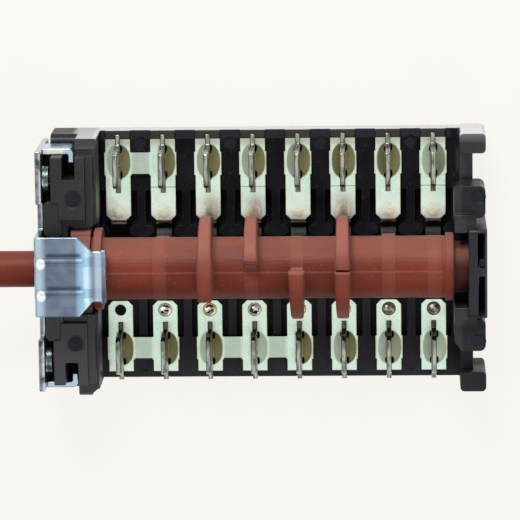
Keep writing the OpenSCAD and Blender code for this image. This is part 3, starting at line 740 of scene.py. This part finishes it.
def tab_metal():
    """Tab metal: bright plating with lengthwise coining marks, dark pits and dark flanks."""
    own = Finish("tab_metal", 0.28, 1.0, TAB_PARTS)
    skin = own.use("skin", Cloud_size=1.2 * MM, Grain_size=0.15 * MM)
    marks = own.use("streaks", Stretch=(1500.0, 2600.0, 400.0))
    base = finishes().tab
    broad = own.span(own.math("ABSOLUTE", own.facing(X)), 0.5, 0.9)
    pits = own.span(own.noise(1.0, 3.0, (2400.0, 480.0, 900.0)), 0.44, 0.62, 0.0, 0.85)
    own.shade = base
    own.lay(times(base, 0.22), pits, own.between(broad, 1.0, 0.12))
    ends = own.math("MAXIMUM", own.part("upper inner ends"), own.part("lower inner ends"))
    own.lay(paint(88, 84, 70), ends, 0.6)
    aside = own.math("ABSOLUTE", own.beside_pole())
    flank = own.span(aside, 0.2 * MM, 0.34 * MM, 0.0, 0.85)
    own.lay(paint(84, 76, 58), flank, own.span(own.facing(Z), 0.3, 0.6))
    own.lay(paint(150, 128, 84), marks["Scuffs"], 0.5)
    rough = own.math("ADD", own.between(skin["Cloud"], 0.16, 0.36), own.both(broad, 0.14))
    height = own.math("ADD", marks["Marks"], own.both(skin["Grain"], 0.5))
    return own.done(rough, height, 0.04 * MM, 0.5)


def plain_metal(name, base, low, high, depth):
    """Small metal part: clouded, finely pitted."""
    own = Finish(name, (low + high) / 2, 1.0)
    skin = own.use("skin", Cloud_size=MM, Grain_size=0.12 * MM)
    own.shade = times(base, 0.62)
    own.lay(base, skin["Cloud"])
    return own.done(own.span(skin["Grain"], 0.35, 0.65, low, high), skin["Grain"], depth, 0.5)


def rivet_silver():
    """Peened rivet head: bright, dark in its hollows, with a brass ring round it."""
    own = Finish("rivet_silver", 0.22, 1.0, RIVET_PARTS)
    skin = own.use("skin", Cloud_size=0.6 * MM, Grain_size=0.12 * MM)
    ring = own.add("ShaderNodeAttribute", attribute_name="tarnish").outputs["Fac"]
    last = own.part("last")
    own.shade = finishes().silver
    own.lay((0.03, 0.028, 0.024), own.span(own.noise(1800.0, 3.0), 0.47, 0.55))
    own.lay(paint(96, 84, 70), last, 0.55)
    pale = own.both(own.math("ADD", own.part("second"), own.part("fourth")), 0.8)
    rim = own.mix(pale, finishes().brass, (0.5, 0.48, 0.42))
    rim = own.mix(own.both(last, 0.85), rim, paint(82, 66, 48))
    own.lay(rim, own.span(ring, 0.2, 0.8))
    return own.done(own.between(skin["Cloud"], 0.14, 0.32), skin["Grain"], 0.03 * MM, 0.5)


def plunger_plastic():
    """Dark, slippery plastic of the plungers."""
    own = Finish("plunger_plastic", 0.45)
    skin = own.use("skin", Cloud_size=2 * MM, Grain_size=0.2 * MM)
    own.shade = finishes().plunger
    own.lay(times(finishes().plunger, 1.5), skin["Cloud"])
    return own.done(own.between(skin["Cloud"], 0.38, 0.52), skin["Grain"], 0.02 * MM, 0.3)


# MESH HELPERS


def new_object(name, mesh):
    obj = bpy.data.objects.new(name, mesh)
    bpy.context.scene.collection.objects.link(obj)
    return obj


def from_edit(bm, name):
    """Object made of an edit mesh, which is freed."""
    mesh = bpy.data.meshes.new(name)
    bm.to_mesh(mesh)
    bm.free()
    return new_object(name, mesh)


def settle(obj):
    """Puts the result of the object's modifiers into its mesh."""
    shown = obj.evaluated_get(bpy.context.evaluated_depsgraph_get())
    mesh = bpy.data.meshes.new_from_object(shown)
    obj.modifiers.clear()
    obj.data = mesh
    mesh.name = obj.name


def soften(obj, angle=32):
    """Smooth shading, kept sharp where faces meet at more than the angle."""
    obj.data.polygons.foreach_set("use_smooth", [True] * len(obj.data.polygons))
    obj.data.set_sharp_from_angle(angle=radians(angle))


def even(obj):
    """Weighs the normals by face size, so that flat faces shade flat beside small ones."""
    modifier = obj.modifiers.new("even", "WEIGHTED_NORMAL")
    modifier.keep_sharp = True
    modifier.weight = 80
    settle(obj)


def dress(obj, body, materials, replaced=()):
    """Gives a finished piece its materials, the body it rides on and the nodes it replaces."""
    obj.data.materials.clear()
    for material in materials:
        obj.data.materials.append(material)
    if body:
        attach(obj, body)
    if replaced:
        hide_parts(*replaced)
    return obj


def merged(node):
    """Edit mesh of a CAD node with its doubles merged and its flat faces joined."""
    bm = bmesh.new()
    bm.from_mesh(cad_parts[node].data)
    bmesh.ops.remove_doubles(bm, verts=bm.verts, dist=2e-6)
    bmesh.ops.dissolve_limit(
        bm, angle_limit=radians(0.5), verts=list(bm.verts), edges=list(bm.edges)
    )
    return bm


def broken_edges(node, name, wide, steps=2, angle=38, share=None):
    """Copy of a CAD node whose edges have a small bevel, each by its share of the width."""
    bm = merged(node)
    if share:
        weight = bm.edges.layers.float.new("bevel_weight_edge")
        for edge in bm.edges:
            if len(edge.link_faces) == 2 and edge.calc_face_angle() > radians(angle):
                edge[weight] = share(edge)
    obj = from_edit(bm, name)
    bevel = obj.modifiers.new("edges", "BEVEL")
    bevel.width = wide
    bevel.segments = steps
    bevel.limit_method = "WEIGHT" if share else "ANGLE"
    bevel.angle_limit = radians(angle)
    bevel.use_clamp_overlap = False
    bevel.miter_outer = "MITER_ARC"
    settle(obj)
    soften(obj)
    even(obj)
    return obj


def join(target, *others):
    """Adds the meshes of other objects to one, and removes them."""
    bm = bmesh.new()
    bm.from_mesh(target.data)
    for other in others:
        bm.from_mesh(other.data)
    bm.to_mesh(target.data)
    bm.free()
    for other in others:
        bpy.data.objects.remove(other)


# HOUSING AND BRACKET


def mark_faces(obj, spots, radius, largest):
    """Second material on the small round faces near the given points."""
    for face in obj.data.polygons:
        small = face.area <= largest and face.normal.z > 0.9
        if small and any((face.center - spot).length < radius for spot in spots):
            face.material_index = 1


class SWITCH_OT_housing(bpy.types.Operator):
    """Tray moulding with broken edges and bluish ejector marks"""

    bl_idname = "switch.housing"
    bl_label = "Housing"

    def execute(self, context):
        obj = broken_edges("housing", "tray_moulding", sizes().moulding_edge)
        dress(obj, BASE, [black_moulding(), ejector_mark()], ["housing"])
        # Ejector marks at the outer ends of both rows, on the detent boxes and on the rear ears
        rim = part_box("housing")[1].y
        spots = []
        for i in (1, 3, 5, 7):
            x = (POLE_X[i] + POLE_X[i + 1]) / 2
            for y in (rim - 2.5 * MM, -18.4 * MM):
                spots.append(Vector((x, y, STRIP_TOP - 0.95 * MM)))
        for y in (-12 * MM, 12 * MM):
            spots.append(Vector((6.15 * MM, y, 3.25 * MM)))
            spots.append(Vector((POLE_X[8] + 7.2 * MM, y, 2.65 * MM)))
        mark_faces(obj, spots, 0.7 * MM, 8 * MM * MM)
        return {"FINISHED"}


class SWITCH_OT_bracket(bpy.types.Operator):
    """Zinc-plated bracket with rounded sheet edges"""

    bl_idname = "switch.bracket"
    bl_label = "Front bracket"

    def execute(self, context):
        obj = broken_edges("front_bracket", "zinc_bracket", sizes().sheet_edge, steps=3)
        dress(obj, BASE, [zinc_steel()], ["front_bracket"])
        return {"FINISHED"}


# DRUM


def seam_ridge(name, side):
    """Thin raised line that the mould left along the barrel."""
    wide, high, sunk = sizes().seam_width / 2, sizes().seam_height, -0.1 * MM
    profile = [(-wide, sunk), (-wide, high * 0.4), (0, high), (wide, high * 0.4), (wide, sunk)]
    bm = bmesh.new()
    first, last = (
        [bm.verts.new((x, y, side * (BARREL_R + z))) for y, z in profile] for x in BARREL_X
    )
    for a in range(len(profile)):
        b = (a + 1) % len(profile)
        bm.faces.new([first[a], first[b], last[b], last[a]])
    bm.faces.new(first)
    bm.faces.new(last[::-1])
    bmesh.ops.recalc_face_normals(bm, faces=bm.faces)
    return from_edit(bm, name)


def drum_share(edge):
    """Share of the bevel on an edge of the drum: full on the lobes' tips, none on the low bands."""
    radii = [Vector((v.co.y, v.co.z)).length for v in edge.verts]
    if max(radii) < BARREL_R + 0.2 * MM and edge.verts[0].co.x > BARREL_X[0] - MM:
        return 0.0
    return 1.0 if min(radii) > 8 * MM else 0.5


class SWITCH_OT_drum(bpy.types.Operator):
    """Cam drum with broken edges and the mould's parting lines"""

    bl_idname = "switch.drum"
    bl_label = "Cam drum"

    def execute(self, context):
        obj = broken_edges("cam_drum", "drum_moulding", sizes().drum_edge, 3, 35, drum_share)
        join(obj, seam_ridge("seam_front", 1), seam_ridge("seam_back", -1))
        soften(obj)
        dress(obj, "selector_drum", [red_thermoset()], ["cam_drum"])
        return {"FINISHED"}


# STRIPS

# Tarnish in the left and right half of each pressed eye, from none to full, by pole
UPPER_STAIN = dict(
    zip(POLES, [(0.45, 1), (0, 1), (0.65, 1), (0.6, 1), (0.7, 1), (1, 1), (1, 1), (0.5, 0.8)])
)
LOWER_STAIN = dict(
    zip(POLES, [(0, 1), (0, 1), (0.5, 1), (0, 0.6), (0, 1), (0.55, 1), (0.55, 0.85), (0.6, 0.65)])
)
LIP_STAIN = 0.62

# Cuts for a pressed eye: how far they reach from the tab, and their steps along and across
EYE_REACH, STEP_ALONG, STEP_ACROSS = 2.2 * MM, 0.25 * MM, 0.22 * MM


def cut(bm, axis, at, parts=None):
    """Cuts the mesh, or some of its parts, across one axis."""
    point, normal = [0, 0, 0], [0, 0, 0]
    point[axis], normal[axis] = at, 1
    parts = parts or list(bm.verts) + list(bm.edges) + list(bm.faces)
    bmesh.ops.bisect_plane(bm, geom=parts, dist=1e-7, plane_co=point, plane_no=normal)


def cut_lines(bm, axis, low, high, step, limit):
    """Cuts the upward faces inside the limits across one axis, at even steps."""
    count = round((high - low) / step)
    for k in range(count + 1):
        parts = set()
        for face in bm.faces:
            inside = zip(face.calc_center_median(), *limit)
            if face.normal.z > 0.9 and all(a <= c <= b for c, a, b in inside):
                parts.update([face, *face.edges, *face.verts])
        if parts:
            cut(bm, axis, low + (high - low) * k / count, list(parts))


def press_eyes(obj, poles, tab_y, stain):
    """Presses the eye beside each tab into the strip, and notes the tarnish of its two halves."""
    half, wide, rise = sizes().eye_length, sizes().eye_width, sizes().eye_height
    bm = bmesh.new()
    bm.from_mesh(obj.data)
    layer = bm.verts.layers.float_vector.new("stain")
    for i in poles:
        x = POLE_X[i]
        start, end = tab_y - half, tab_y + half
        low = (x - 0.1 * MM, start - 0.1 * MM, STRIP_TOP - 0.2 * MM)
        high = (x + EYE_REACH + 0.4 * MM, end + 0.1 * MM, STRIP_TOP + MM)
        for axis, at in ((Y, start), (Y, end), (X, x), (X, x + EYE_REACH)):
            cut(bm, axis, at)
        cut_lines(bm, Y, start, end, STEP_ALONG, (low, high))
        cut_lines(bm, X, x, x + EYE_REACH, STEP_ACROSS, (low, high))
    for v in bm.verts:
        i = min(poles, key=lambda p: abs(POLE_X[p] - v.co.x))
        v[layer] = (*stain[i], 0.0)
        dx, dy = v.co.x - POLE_X[i], (v.co.y - tab_y) / half
        if dx <= 0 or abs(dy) >= 1 or v.co.z < STRIP_TOP - 0.3 * MM:
            continue
        across = dx / max(wide * (1 - abs(dy) ** 2.4) ** 0.45, 1e-6)
        if across < 1:
            v.co.z += rise * stain[i][1] * 0.5 * (1 + cos(pi * across)) * (1 - dy * dy)
    bm.to_mesh(obj.data)
    bm.free()


def stain_lips(obj):
    """Tarnish on the curved lip at the contact end."""
    layer = obj.data.attributes["stain"].data
    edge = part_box("upper_strip_3")[0].y + 0.55 * MM
    for v in obj.data.vertices:
        if v.co.y < edge:
            layer[v.index].vector[2] = LIP_STAIN


class SWITCH_OT_strips(bpy.types.Operator):
    """Contact strips with pressed and tarnished eyes beside the tabs"""

    bl_idname = "switch.strips"
    bl_label = "Contact strips"

    def execute(self, context):
        material = made(tinned_brass)
        for row, names, tab_y, stain in (
            ("upper", UPPER_STRIPS, UPPER_EYE_Y, UPPER_STAIN),
            ("lower", LOWER_STRIPS, LOWER_TAB_Y, LOWER_STAIN),
        ):
            for name in names:
                node = f"{row}_strip_{name}"
                obj = from_edit(merged(node), f"{row}_sheet_{name}")
                press_eyes(obj, [int(pole) for pole in name], tab_y, stain)
                if row == "upper":
                    stain_lips(obj)
                soften(obj, 24)
                even(obj)
                dress(obj, BASE, [material], [node])
        return {"FINISHED"}


class SWITCH_OT_tabs(bpy.types.Operator):
    """Terminal tabs with coined edges"""

    bl_idname = "switch.tabs"
    bl_label = "Terminal tabs"

    def execute(self, context):
        material = tab_metal()
        for row in ("upper", "lower"):
            for i in POLES:
                node = f"{row}_tab_{i}"
                obj = broken_edges(node, f"{row}_terminal_{i}", sizes().tab_edge)
                dress(obj, BASE, [material], [node])
        return {"FINISHED"}


# CONTACTS

# Round patches of the rivet heads and dimples: spokes, and the radii of their rings in millimetres
SPOKES = 28
HEAD_RINGS = (0.15, 0.3, 0.45, 0.6, 0.72, 0.82, 0.88, 0.95, 1.02, 1.1, 1.18)
DIMPLE_RINGS = (0.15, 0.3, 0.45, 0.6, 0.75, 0.9, 1.05, 1.2, 1.3, 1.35)


def ripple(r, a, seed):
    """Uneven height of hammered metal, the same on each run."""
    waves = (sin(k * a + seed * k * 1.7 + r * 2.6 * (1 + 0.3 * k)) / k for k in (2, 3, 5, 7))
    return sum(waves) * 0.35


def head_height(r, a):
    """Height of a peened rivet head, in millimetres: a rough bowl in a raised ring."""
    if r > 1.1:
        return 0.0
    if r > 0.85:
        return 0.09
    return 0.01 + 0.16 * (r / 0.85) ** 2 + 0.055 * ripple(r, a, 1.3) * (1 - r)


def dimple_height(r, a):
    """Height of the mark that a fixed contact leaves in its strip, in millimetres."""
    dome = max(0.0, 1 - (r / 1.35) ** 2)
    return 0.022 * dome + 0.006 * ripple(r, a, 2.1) * dome - 0.01


def polar_patch(name, rings, height, stained_from):
    """Round patch of rings and spokes, tarnished outside a radius; lengths in millimetres."""
    bm = bmesh.new()
    layer = bm.verts.layers.float.new("tarnish")

    def point(r, a):
        v = bm.verts.new(Vector((r * cos(a), r * sin(a), height(r, a))) * MM)
        v[layer] = 1.0 if r > stained_from else 0.0
        return v

    centre = point(0, 0)
    last = None
    for r in rings:
        row = [point(r, 2 * pi * k / SPOKES) for k in range(SPOKES)]
        for k in range(SPOKES):
            n = (k + 1) % SPOKES
            if last:
                bm.faces.new([last[k], row[k], row[n], last[n]])
            else:
                bm.faces.new([centre, row[k], row[n]])
        last = row
    obj = from_edit(bm, name)
    obj.data.polygons.foreach_set("use_smooth", [True] * len(obj.data.polygons))
    return obj


def row_on_poles(name, pattern, material, poles, y, seed):
    """Geometry Nodes: copies of a pattern at a line of poles, each turned by a random angle."""
    own, given, result = new_group(
        name,
        [
            ("Geometry", "Geometry", None),
            ("First pole", "Vector", (POLE_X[poles[0]], y, STRIP_TOP + 0.005 * MM)),
            ("Pitch", "Float", PITCH),
            ("Count", "Int", len(poles)),
            ("Seed", "Int", seed),
        ],
        [("Geometry", "Geometry")],
        "GeometryNodeTree",
    )
    step = own.out("ShaderNodeCombineXYZ", {0: given["Pitch"]})
    inputs = {"Count": given["Count"], "Start Location": given["First pole"], "Offset": step}
    line = own.out("GeometryNodeMeshLine", inputs)
    inputs = {2: 0.0, 3: 2 * pi, "Seed": given["Seed"]}
    angle = own.add("FunctionNodeRandomValue", inputs, data_type="FLOAT").outputs[1]
    turn = own.out("ShaderNodeCombineXYZ", {2: angle})
    source = own.add("GeometryNodeObjectInfo", {"Object": pattern}).outputs["Geometry"]
    inputs = {"Points": line, "Instance": source, "Rotation": turn}
    placed = own.out("GeometryNodeInstanceOnPoints", inputs)
    real = own.out("GeometryNodeRealizeInstances", {0: placed})
    inputs = {"Geometry": real, "Material": material}
    own.feed(result[0], own.out("GeometryNodeSetMaterial", inputs))
    obj = new_object(name, bpy.data.meshes.new(name))
    obj.modifiers.new("poles", "NODES").node_group = own.tree
    settle(obj)
    bpy.data.objects.remove(pattern)
    return obj


def under_patches(node, name):
    """Rivets of a CAD node, with their faces lowered under the patches that show in their place."""
    obj = broken_edges(node, name, 0.05 * MM)
    for v in obj.data.vertices:
        v.co.z = min(v.co.z, STRIP_TOP - 0.03 * MM)
    return obj


class SWITCH_OT_contacts(bpy.types.Operator):
    """Peened rivet heads, fixed contacts and moving buttons"""

    bl_idname = "switch.contacts"
    bl_label = "Rivets and contacts"

    def execute(self, context):
        silver, tin = rivet_silver(), made(tinned_brass)
        pattern = polar_patch("head", HEAD_RINGS, head_height, 0.84)
        heads = row_on_poles("rivet_heads", pattern, silver, BLADE_POLES, RIVET_Y, 4)
        dress(heads, BASE, [silver])
        tails = under_patches("blade_rivets", "rivet_tails")
        dress(tails, BASE, [silver], ["blade_rivets"])
        pattern = polar_patch("press", DIMPLE_RINGS, dimple_height, FAR)
        marks = row_on_poles("contact_dimples", pattern, tin, POLES, DIMPLE_Y, 9)
        dress(marks, BASE, [tin])
        fixed = under_patches("fixed_contacts", "fixed_faces")
        dress(fixed, BASE, [silver], ["fixed_contacts"])
        for i in BLADE_POLES:
            node = f"contact_button_{i}"
            obj = broken_edges(node, f"moving_button_{i}", 0.08 * MM)
            dress(obj, f"contact_{i}", [silver], [node])
        return {"FINISHED"}


# Length of the stretch in front of the blades' rivets, and the cuts across it
BEND, BEND_CUTS = 1.5 * MM, 6


class SWITCH_OT_blades(bpy.types.Operator):
    """Spring blades, cut across just in front of the rivet"""

    bl_idname = "switch.blades"
    bl_label = "Contact blades"

    def execute(self, context):
        bronze = plain_metal("blade_bronze", finishes().blade, 0.26, 0.42, 0.02 * MM)
        for i in BLADE_POLES:
            node = f"contact_blade_{i}"
            bm = merged(node)
            for k in range(BEND_CUTS + 1):
                cut(bm, Y, HINGE_Y + k * BEND / BEND_CUTS)
            obj = from_edit(bm, f"spring_blade_{i}")
            soften(obj, 30)
            dress(obj, None, [bronze], [node])
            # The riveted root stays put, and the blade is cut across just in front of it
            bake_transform(obj)
        return {"FINISHED"}


# DETENTS


# Turns at a spring's ends that touch their neighbours, both ends together
CLOSED_TURNS = 1.7


def coil_tree():
    """Geometry Nodes: wire wound along Y, with its last turns closed."""
    own, given, result = new_group(
        "wound_wire",
        [
            ("Geometry", "Geometry", None),
            ("Start", "Vector", None),
            ("Length", "Float", None),
            ("Radius", "Float", None),
            ("Wire", "Float", None),
            ("Turns", "Float", None),
            ("Material", "Material", None),
        ],
        [("Geometry", "Geometry")],
        "GeometryNodeTree",
    )
    points = own.out("GeometryNodeCurvePrimitiveLine", mode="POINTS")
    fine = own.out("GeometryNodeResampleCurve", {"Curve": points, "Count": 260})
    part = own.add("GeometryNodeSplineParameter").outputs["Factor"]
    angle = own.math("MULTIPLY", own.math("MULTIPLY", part, given["Turns"]), 2 * pi)
    dead = own.math("DIVIDE", CLOSED_TURNS / 2, given["Turns"])
    climb = own.span(part, dead, own.math("SUBTRACT", 1.0, dead))
    along = own.math("MULTIPLY", climb, given["Length"])
    across = own.math("MULTIPLY", own.math("COSINE", angle), given["Radius"])
    up = own.math("MULTIPLY", own.math("SINE", angle), given["Radius"])
    spot = own.out("ShaderNodeCombineXYZ", {0: across, 1: along, 2: up})
    inputs = {0: spot, 1: given["Start"]}
    moved = own.out("ShaderNodeVectorMath", inputs, operation="ADD")
    wound = own.out("GeometryNodeSetPosition", {"Geometry": fine, "Position": moved})
    inputs = {"Resolution": 10, "Radius": own.math("MULTIPLY", given["Wire"], 0.5)}
    ring = own.out("GeometryNodeCurvePrimitiveCircle", inputs, mode="RADIUS")
    inputs = {"Curve": wound, "Profile Curve": ring, "Fill Caps": True}
    tube = own.out("GeometryNodeCurveToMesh", inputs)
    smooth = own.out("GeometryNodeSetShadeSmooth", {"Geometry": tube})
    real = own.out("GeometryNodeRealizeInstances", {0: smooth})
    inputs = {"Geometry": real, "Material": given["Material"]}
    own.feed(result[0], own.out("GeometryNodeSetMaterial", inputs))
    return own.tree


class SWITCH_OT_detents(bpy.types.Operator):
    """Detent plungers and the wound springs behind them"""

    bl_idname = "switch.detents"
    bl_label = "Detents"

    def execute(self, context):
        steel = plain_metal("spring_steel", finishes().wire, 0.22, 0.36, 0.01 * MM)
        dark = plunger_plastic()
        tree = coil_tree()
        wire = sizes().wire
        for side, sign in (("upper", 1), ("lower", -1)):
            node = f"detent_spring_{side}"
            low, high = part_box(node)
            centre = middle(node)
            near, far = (low.y, high.y) if sign > 0 else (high.y, low.y)
            obj = new_object(f"wound_spring_{side}", bpy.data.meshes.new(f"wound_spring_{side}"))
            modifier = obj.modifiers.new("coil", "NODES")
            modifier.node_group = tree
            settings = {
                "Start": (centre.x, near + sign * wire / 2, centre.z),
                "Length": far - near - sign * wire,
                "Radius": (high.z - low.z) / 2 - wire / 2,
                "Wire": wire,
                "Turns": sizes().turns + CLOSED_TURNS,
                "Material": steel,
            }
            for item in tree.interface.items_tree:
                if item.name in settings:
                    modifier[item.identifier] = settings[item.name]
            settle(obj)
            dress(obj, BASE, [steel], [node])
            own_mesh(obj)
            node = f"detent_plunger_{side}"
            obj = broken_edges(node, f"index_plunger_{side}", 0.12 * MM)
            dress(obj, f"{side}_plunger", [dark], [node])
        return {"FINISHED"}


# STAGE


def view_axes():
    """Direction to the camera and the picture's right and up, in the row frame."""
    s = bpy.context.scene.switch_stage
    back = Vector((tan(s.side), tan(s.tilt), 1)).normalized()
    right = (-back).cross(Vector((0, 1, 0))).normalized()
    up = right.cross(-back)
    turned = cos(s.roll) * right - sin(s.roll) * up
    return back, turned, back.cross(turned)


# Lamps: name, place, size in metres, power in watts
LAMPS = (("key", (-0.05, 0.52, 0.4), 0.3, 3.3), ("fill", (0.25, -0.35, 0.5), 0.35, 0.8))


def area_lamp(name, place, aim, size, power):
    """Soft square lamp that points at a place."""
    lamp = bpy.data.lights.new(name, "AREA")
    lamp.shape = "SQUARE"
    lamp.size = size
    lamp.energy = power
    obj = new_object(name, lamp)
    obj.location = place
    obj.rotation_euler = (Vector(aim) - Vector(place)).to_track_quat("-Z", "Y").to_euler()


def pale_floor(colour_of_paper):
    """Pale floor: it shows the paper's colour, and keeps a little of the shadow."""
    own = Finish("pale_floor", 0.9)
    cloud = own.span(own.noise(40.0, 4.0), 0.3, 0.7, 0.0, 0.04)
    own.give("Base Color", own.mix(cloud, (0.8, 0.79, 0.77), (0.7, 0.69, 0.67)))
    light = {"Color": (*colour_of_paper, 1), "Strength": 1.0}
    glow = own.out("ShaderNodeEmission", light)
    path = own.add("ShaderNodeLightPath").outputs
    seen = own.math("MAXIMUM", path["Is Camera Ray"], path["Is Glossy Ray"])
    seen = own.math("MAXIMUM", seen, path["Is Transmission Ray"])
    inputs = {0: own.math("MULTIPLY", seen, 0.86), 1: own.shader.outputs[0], 2: glow}
    blend = own.out("ShaderNodeMixShader", inputs)
    own.feed(own.tree.nodes["Material Output"].inputs["Surface"], blend)
    return own.material


def studio_world(colour_of_paper):
    """Plain room under a long pale ceiling light, and paper-coloured to the camera."""
    world = bpy.data.worlds.new("studio")
    bpy.context.scene.world = world
    world.use_nodes = True
    own = Nodes(world.node_tree)
    own.tree.nodes.clear()
    way = own.add("ShaderNodeTexCoord").outputs["Generated"]
    parts = own.add("ShaderNodeSeparateXYZ", {0: way}).outputs
    above = own.span(parts[2], 0.2, 0.6)
    offset = own.math("ABSOLUTE", own.math("ADD", parts[1], 0.14))
    along = own.span(offset, 0.16, 0.36, 1.0, 0.0)
    bright = own.math("MULTIPLY", above, along)
    wall = own.span(own.math("ABSOLUTE", parts[2]), 0.12, 0.3, 1.0, 0.0)
    dim = own.mix(wall, (0.16, 0.165, 0.185), (0.42, 0.42, 0.44))
    light = own.mix(bright, dim, (0.95, 0.95, 0.94))
    room, paper = (
        own.out("ShaderNodeBackground", {"Color": light, "Strength": strength})
        for light, strength in ((light, 0.95), ((*colour_of_paper, 1), 1.0))
    )
    seen = own.add("ShaderNodeLightPath").outputs["Is Camera Ray"]
    blend = own.out("ShaderNodeMixShader", {0: seen, 1: room, 2: paper})
    own.add("ShaderNodeOutputWorld", {"Surface": blend})


class SWITCH_OT_stage(bpy.types.Operator):
    """Pale floor, soft lamps and the camera at the photograph's angle"""

    bl_idname = "switch.stage"
    bl_label = "Stage"

    def execute(self, context):
        settings = context.scene.switch_stage
        paper, aim = tuple(settings.paper), tuple(settings.target)
        bm = bmesh.new()
        bmesh.ops.create_grid(bm, x_segments=8, y_segments=8, size=1.5)
        bmesh.ops.translate(bm, verts=bm.verts, vec=(0, 0, CAD_BOX[0].z - 0.01 * MM))
        floor = from_edit(bm, "floor")
        floor.data.materials.append(pale_floor(paper))
        studio_world(paper)
        for name, place, size, power in LAMPS:
            area_lamp(name, place, aim, size, power)
        camera = bpy.data.cameras.new("camera")
        camera.sensor_width = 36
        camera.lens = settings.focal
        camera.clip_start = 0.01
        camera.clip_end = 20
        obj = new_object("camera", camera)
        back, right, up = view_axes()
        place = Matrix((right, up, back)).transposed().to_4x4()
        place.translation = Vector(aim) + back * settings.distance
        obj.matrix_world = place
        context.scene.camera = obj
        context.scene.view_settings.view_transform = "Standard"
        return {"FINISHED"}


class SWITCH_PT_panel(bpy.types.Panel):
    """Lists the operators in the order in which they run"""

    bl_label = "Oven selector switch"
    bl_idname = "SWITCH_PT_panel"
    bl_space_type = "VIEW_3D"
    bl_region_type = "UI"
    bl_category = "Switch"

    def draw(self, context):
        for step in STEPS:
            self.layout.operator(step.bl_idname, text=step.bl_label)
        for name, kind in SETTINGS.items():
            box = self.layout.box()
            for key in kind.__annotations__:
                box.prop(getattr(context.scene, name), key)


STEPS = [
    SWITCH_OT_stage,
    SWITCH_OT_housing,
    SWITCH_OT_bracket,
    SWITCH_OT_drum,
    SWITCH_OT_strips,
    SWITCH_OT_tabs,
    SWITCH_OT_contacts,
    SWITCH_OT_blades,
    SWITCH_OT_detents,
]


def register():
    for kind in (*SETTINGS.values(), *STEPS, SWITCH_PT_panel):
        bpy.utils.register_class(kind)
    for name, kind in SETTINGS.items():
        setattr(bpy.types.Scene, name, PointerProperty(type=kind))


def unregister():
    for name in SETTINGS:
        delattr(bpy.types.Scene, name)
    for kind in reversed((*SETTINGS.values(), *STEPS, SWITCH_PT_panel)):
        bpy.utils.unregister_class(kind)


def main():
    register()
    for step in STEPS:
        getattr(bpy.ops.switch, step.bl_idname.split(".")[1])()


if __name__ == "__main__":
    main()
